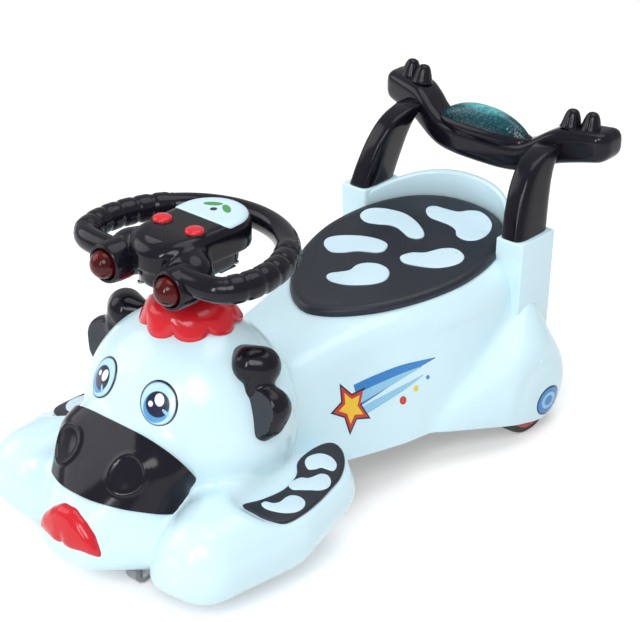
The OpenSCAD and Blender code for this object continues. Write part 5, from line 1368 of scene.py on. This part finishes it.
# floor that glows faintly where it is seen, so that it stays pale and still takes shadows
studio = {
    "floor": 14.0, "glow": 0.32, "world": 0.5, "aim": (0, -0.05, 0.15),
    "lamps": {"key": (1.6, -2.2, 2.6, 1.6, 1.6, 40), "fill": (-2.4, -1.2, 1.8, 2.2, 2.2, 24),
              "top": (0.2, 0.6, 3.0, 2.4, 2.4, 27), "strip": (0.5, -2.6, 1.5, 0.3, 1.4, 17)},
}


def buildFloorFinish():
    finish, tree, shader = startFinish("floorPale")
    feed(shader, {"Base Color": (0.86, 0.86, 0.86, 1), "Roughness": 0.9, "Specular IOR Level": 0.0})
    glow = place(tree, "ShaderNodeEmission", {"Color": (1, 1, 1, 1), "Strength": studio["glow"]})
    both = place(tree, "ShaderNodeAddShader", {0: (shader, 0), 1: (glow, 0)})
    path = place(tree, "ShaderNodeLightPath")
    seen = (path, "Is Camera Ray")
    for ray in ("Is Glossy Ray", "Is Transmission Ray"):
        seen = (place(tree, "ShaderNodeMath", {0: seen, 1: (path, ray)}, operation="MAXIMUM"), 0)
    pick = place(tree, "ShaderNodeMixShader", {0: seen, 1: (shader, 0), 2: (both, 0)})
    feed(tree.nodes["Material Output"], {"Surface": (pick, 0)})
    return finish


floorForm = bmesh.new()
bmesh.ops.create_grid(floorForm, x_segments=1, y_segments=1, size=studio["floor"] / 2)
floorObj = formObject(floorForm, "studioFloor")
floorObj.data.materials.append(buildFloorFinish())

# white world, soft lamps: place, width, height and watts
world = bpy.data.worlds.new("studioWorld")
scene.world = world
world.use_nodes = True
background = world.node_tree.nodes["Background"]
feed(background, {"Color": (1, 1, 1, 1), "Strength": studio["world"]})

for name, (x, y, z, wide, high, watts) in studio["lamps"].items():
    lamp = bpy.data.lights.new(name + "Lamp", "AREA")
    lamp.shape = "ELLIPSE"
    lamp.size = wide
    lamp.size_y = high
    lamp.energy = watts
    obj = bpy.data.objects.new(name + "Lamp", lamp)
    obj.location = (x, y, z)
    obj.rotation_euler = (Vector(studio["aim"]) - obj.location).to_track_quat("-Z", "Y").to_euler()
    scene.collection.objects.link(obj)

# camera
view = {
    "azimuth": 41.72, "elevation": 27.18, "distance": 2.03, "target": (0.247, -0.244, 0.381), "lens": 113.2,
    "sensor": 36,
}
az, el = radians(view["azimuth"]), radians(view["elevation"])
back = Vector((sin(az) * cos(el), -cos(az) * cos(el), sin(el)))
right = Vector((cos(az), sin(az), 0))
camera = bpy.data.cameras.new("photoCamera")
camera.lens = view["lens"]
camera.sensor_width = view["sensor"]
cameraObj = bpy.data.objects.new("photoCamera", camera)
turn = Matrix((right, back.cross(right), back)).transposed().to_4x4()
cameraObj.matrix_world = Matrix.Translation(Vector(view["target"]) + back * view["distance"]) @ turn
scene.collection.objects.link(cameraObj)
scene.camera = cameraObj
scene.view_settings.view_transform = "Standard"
print("floor, light and camera set")
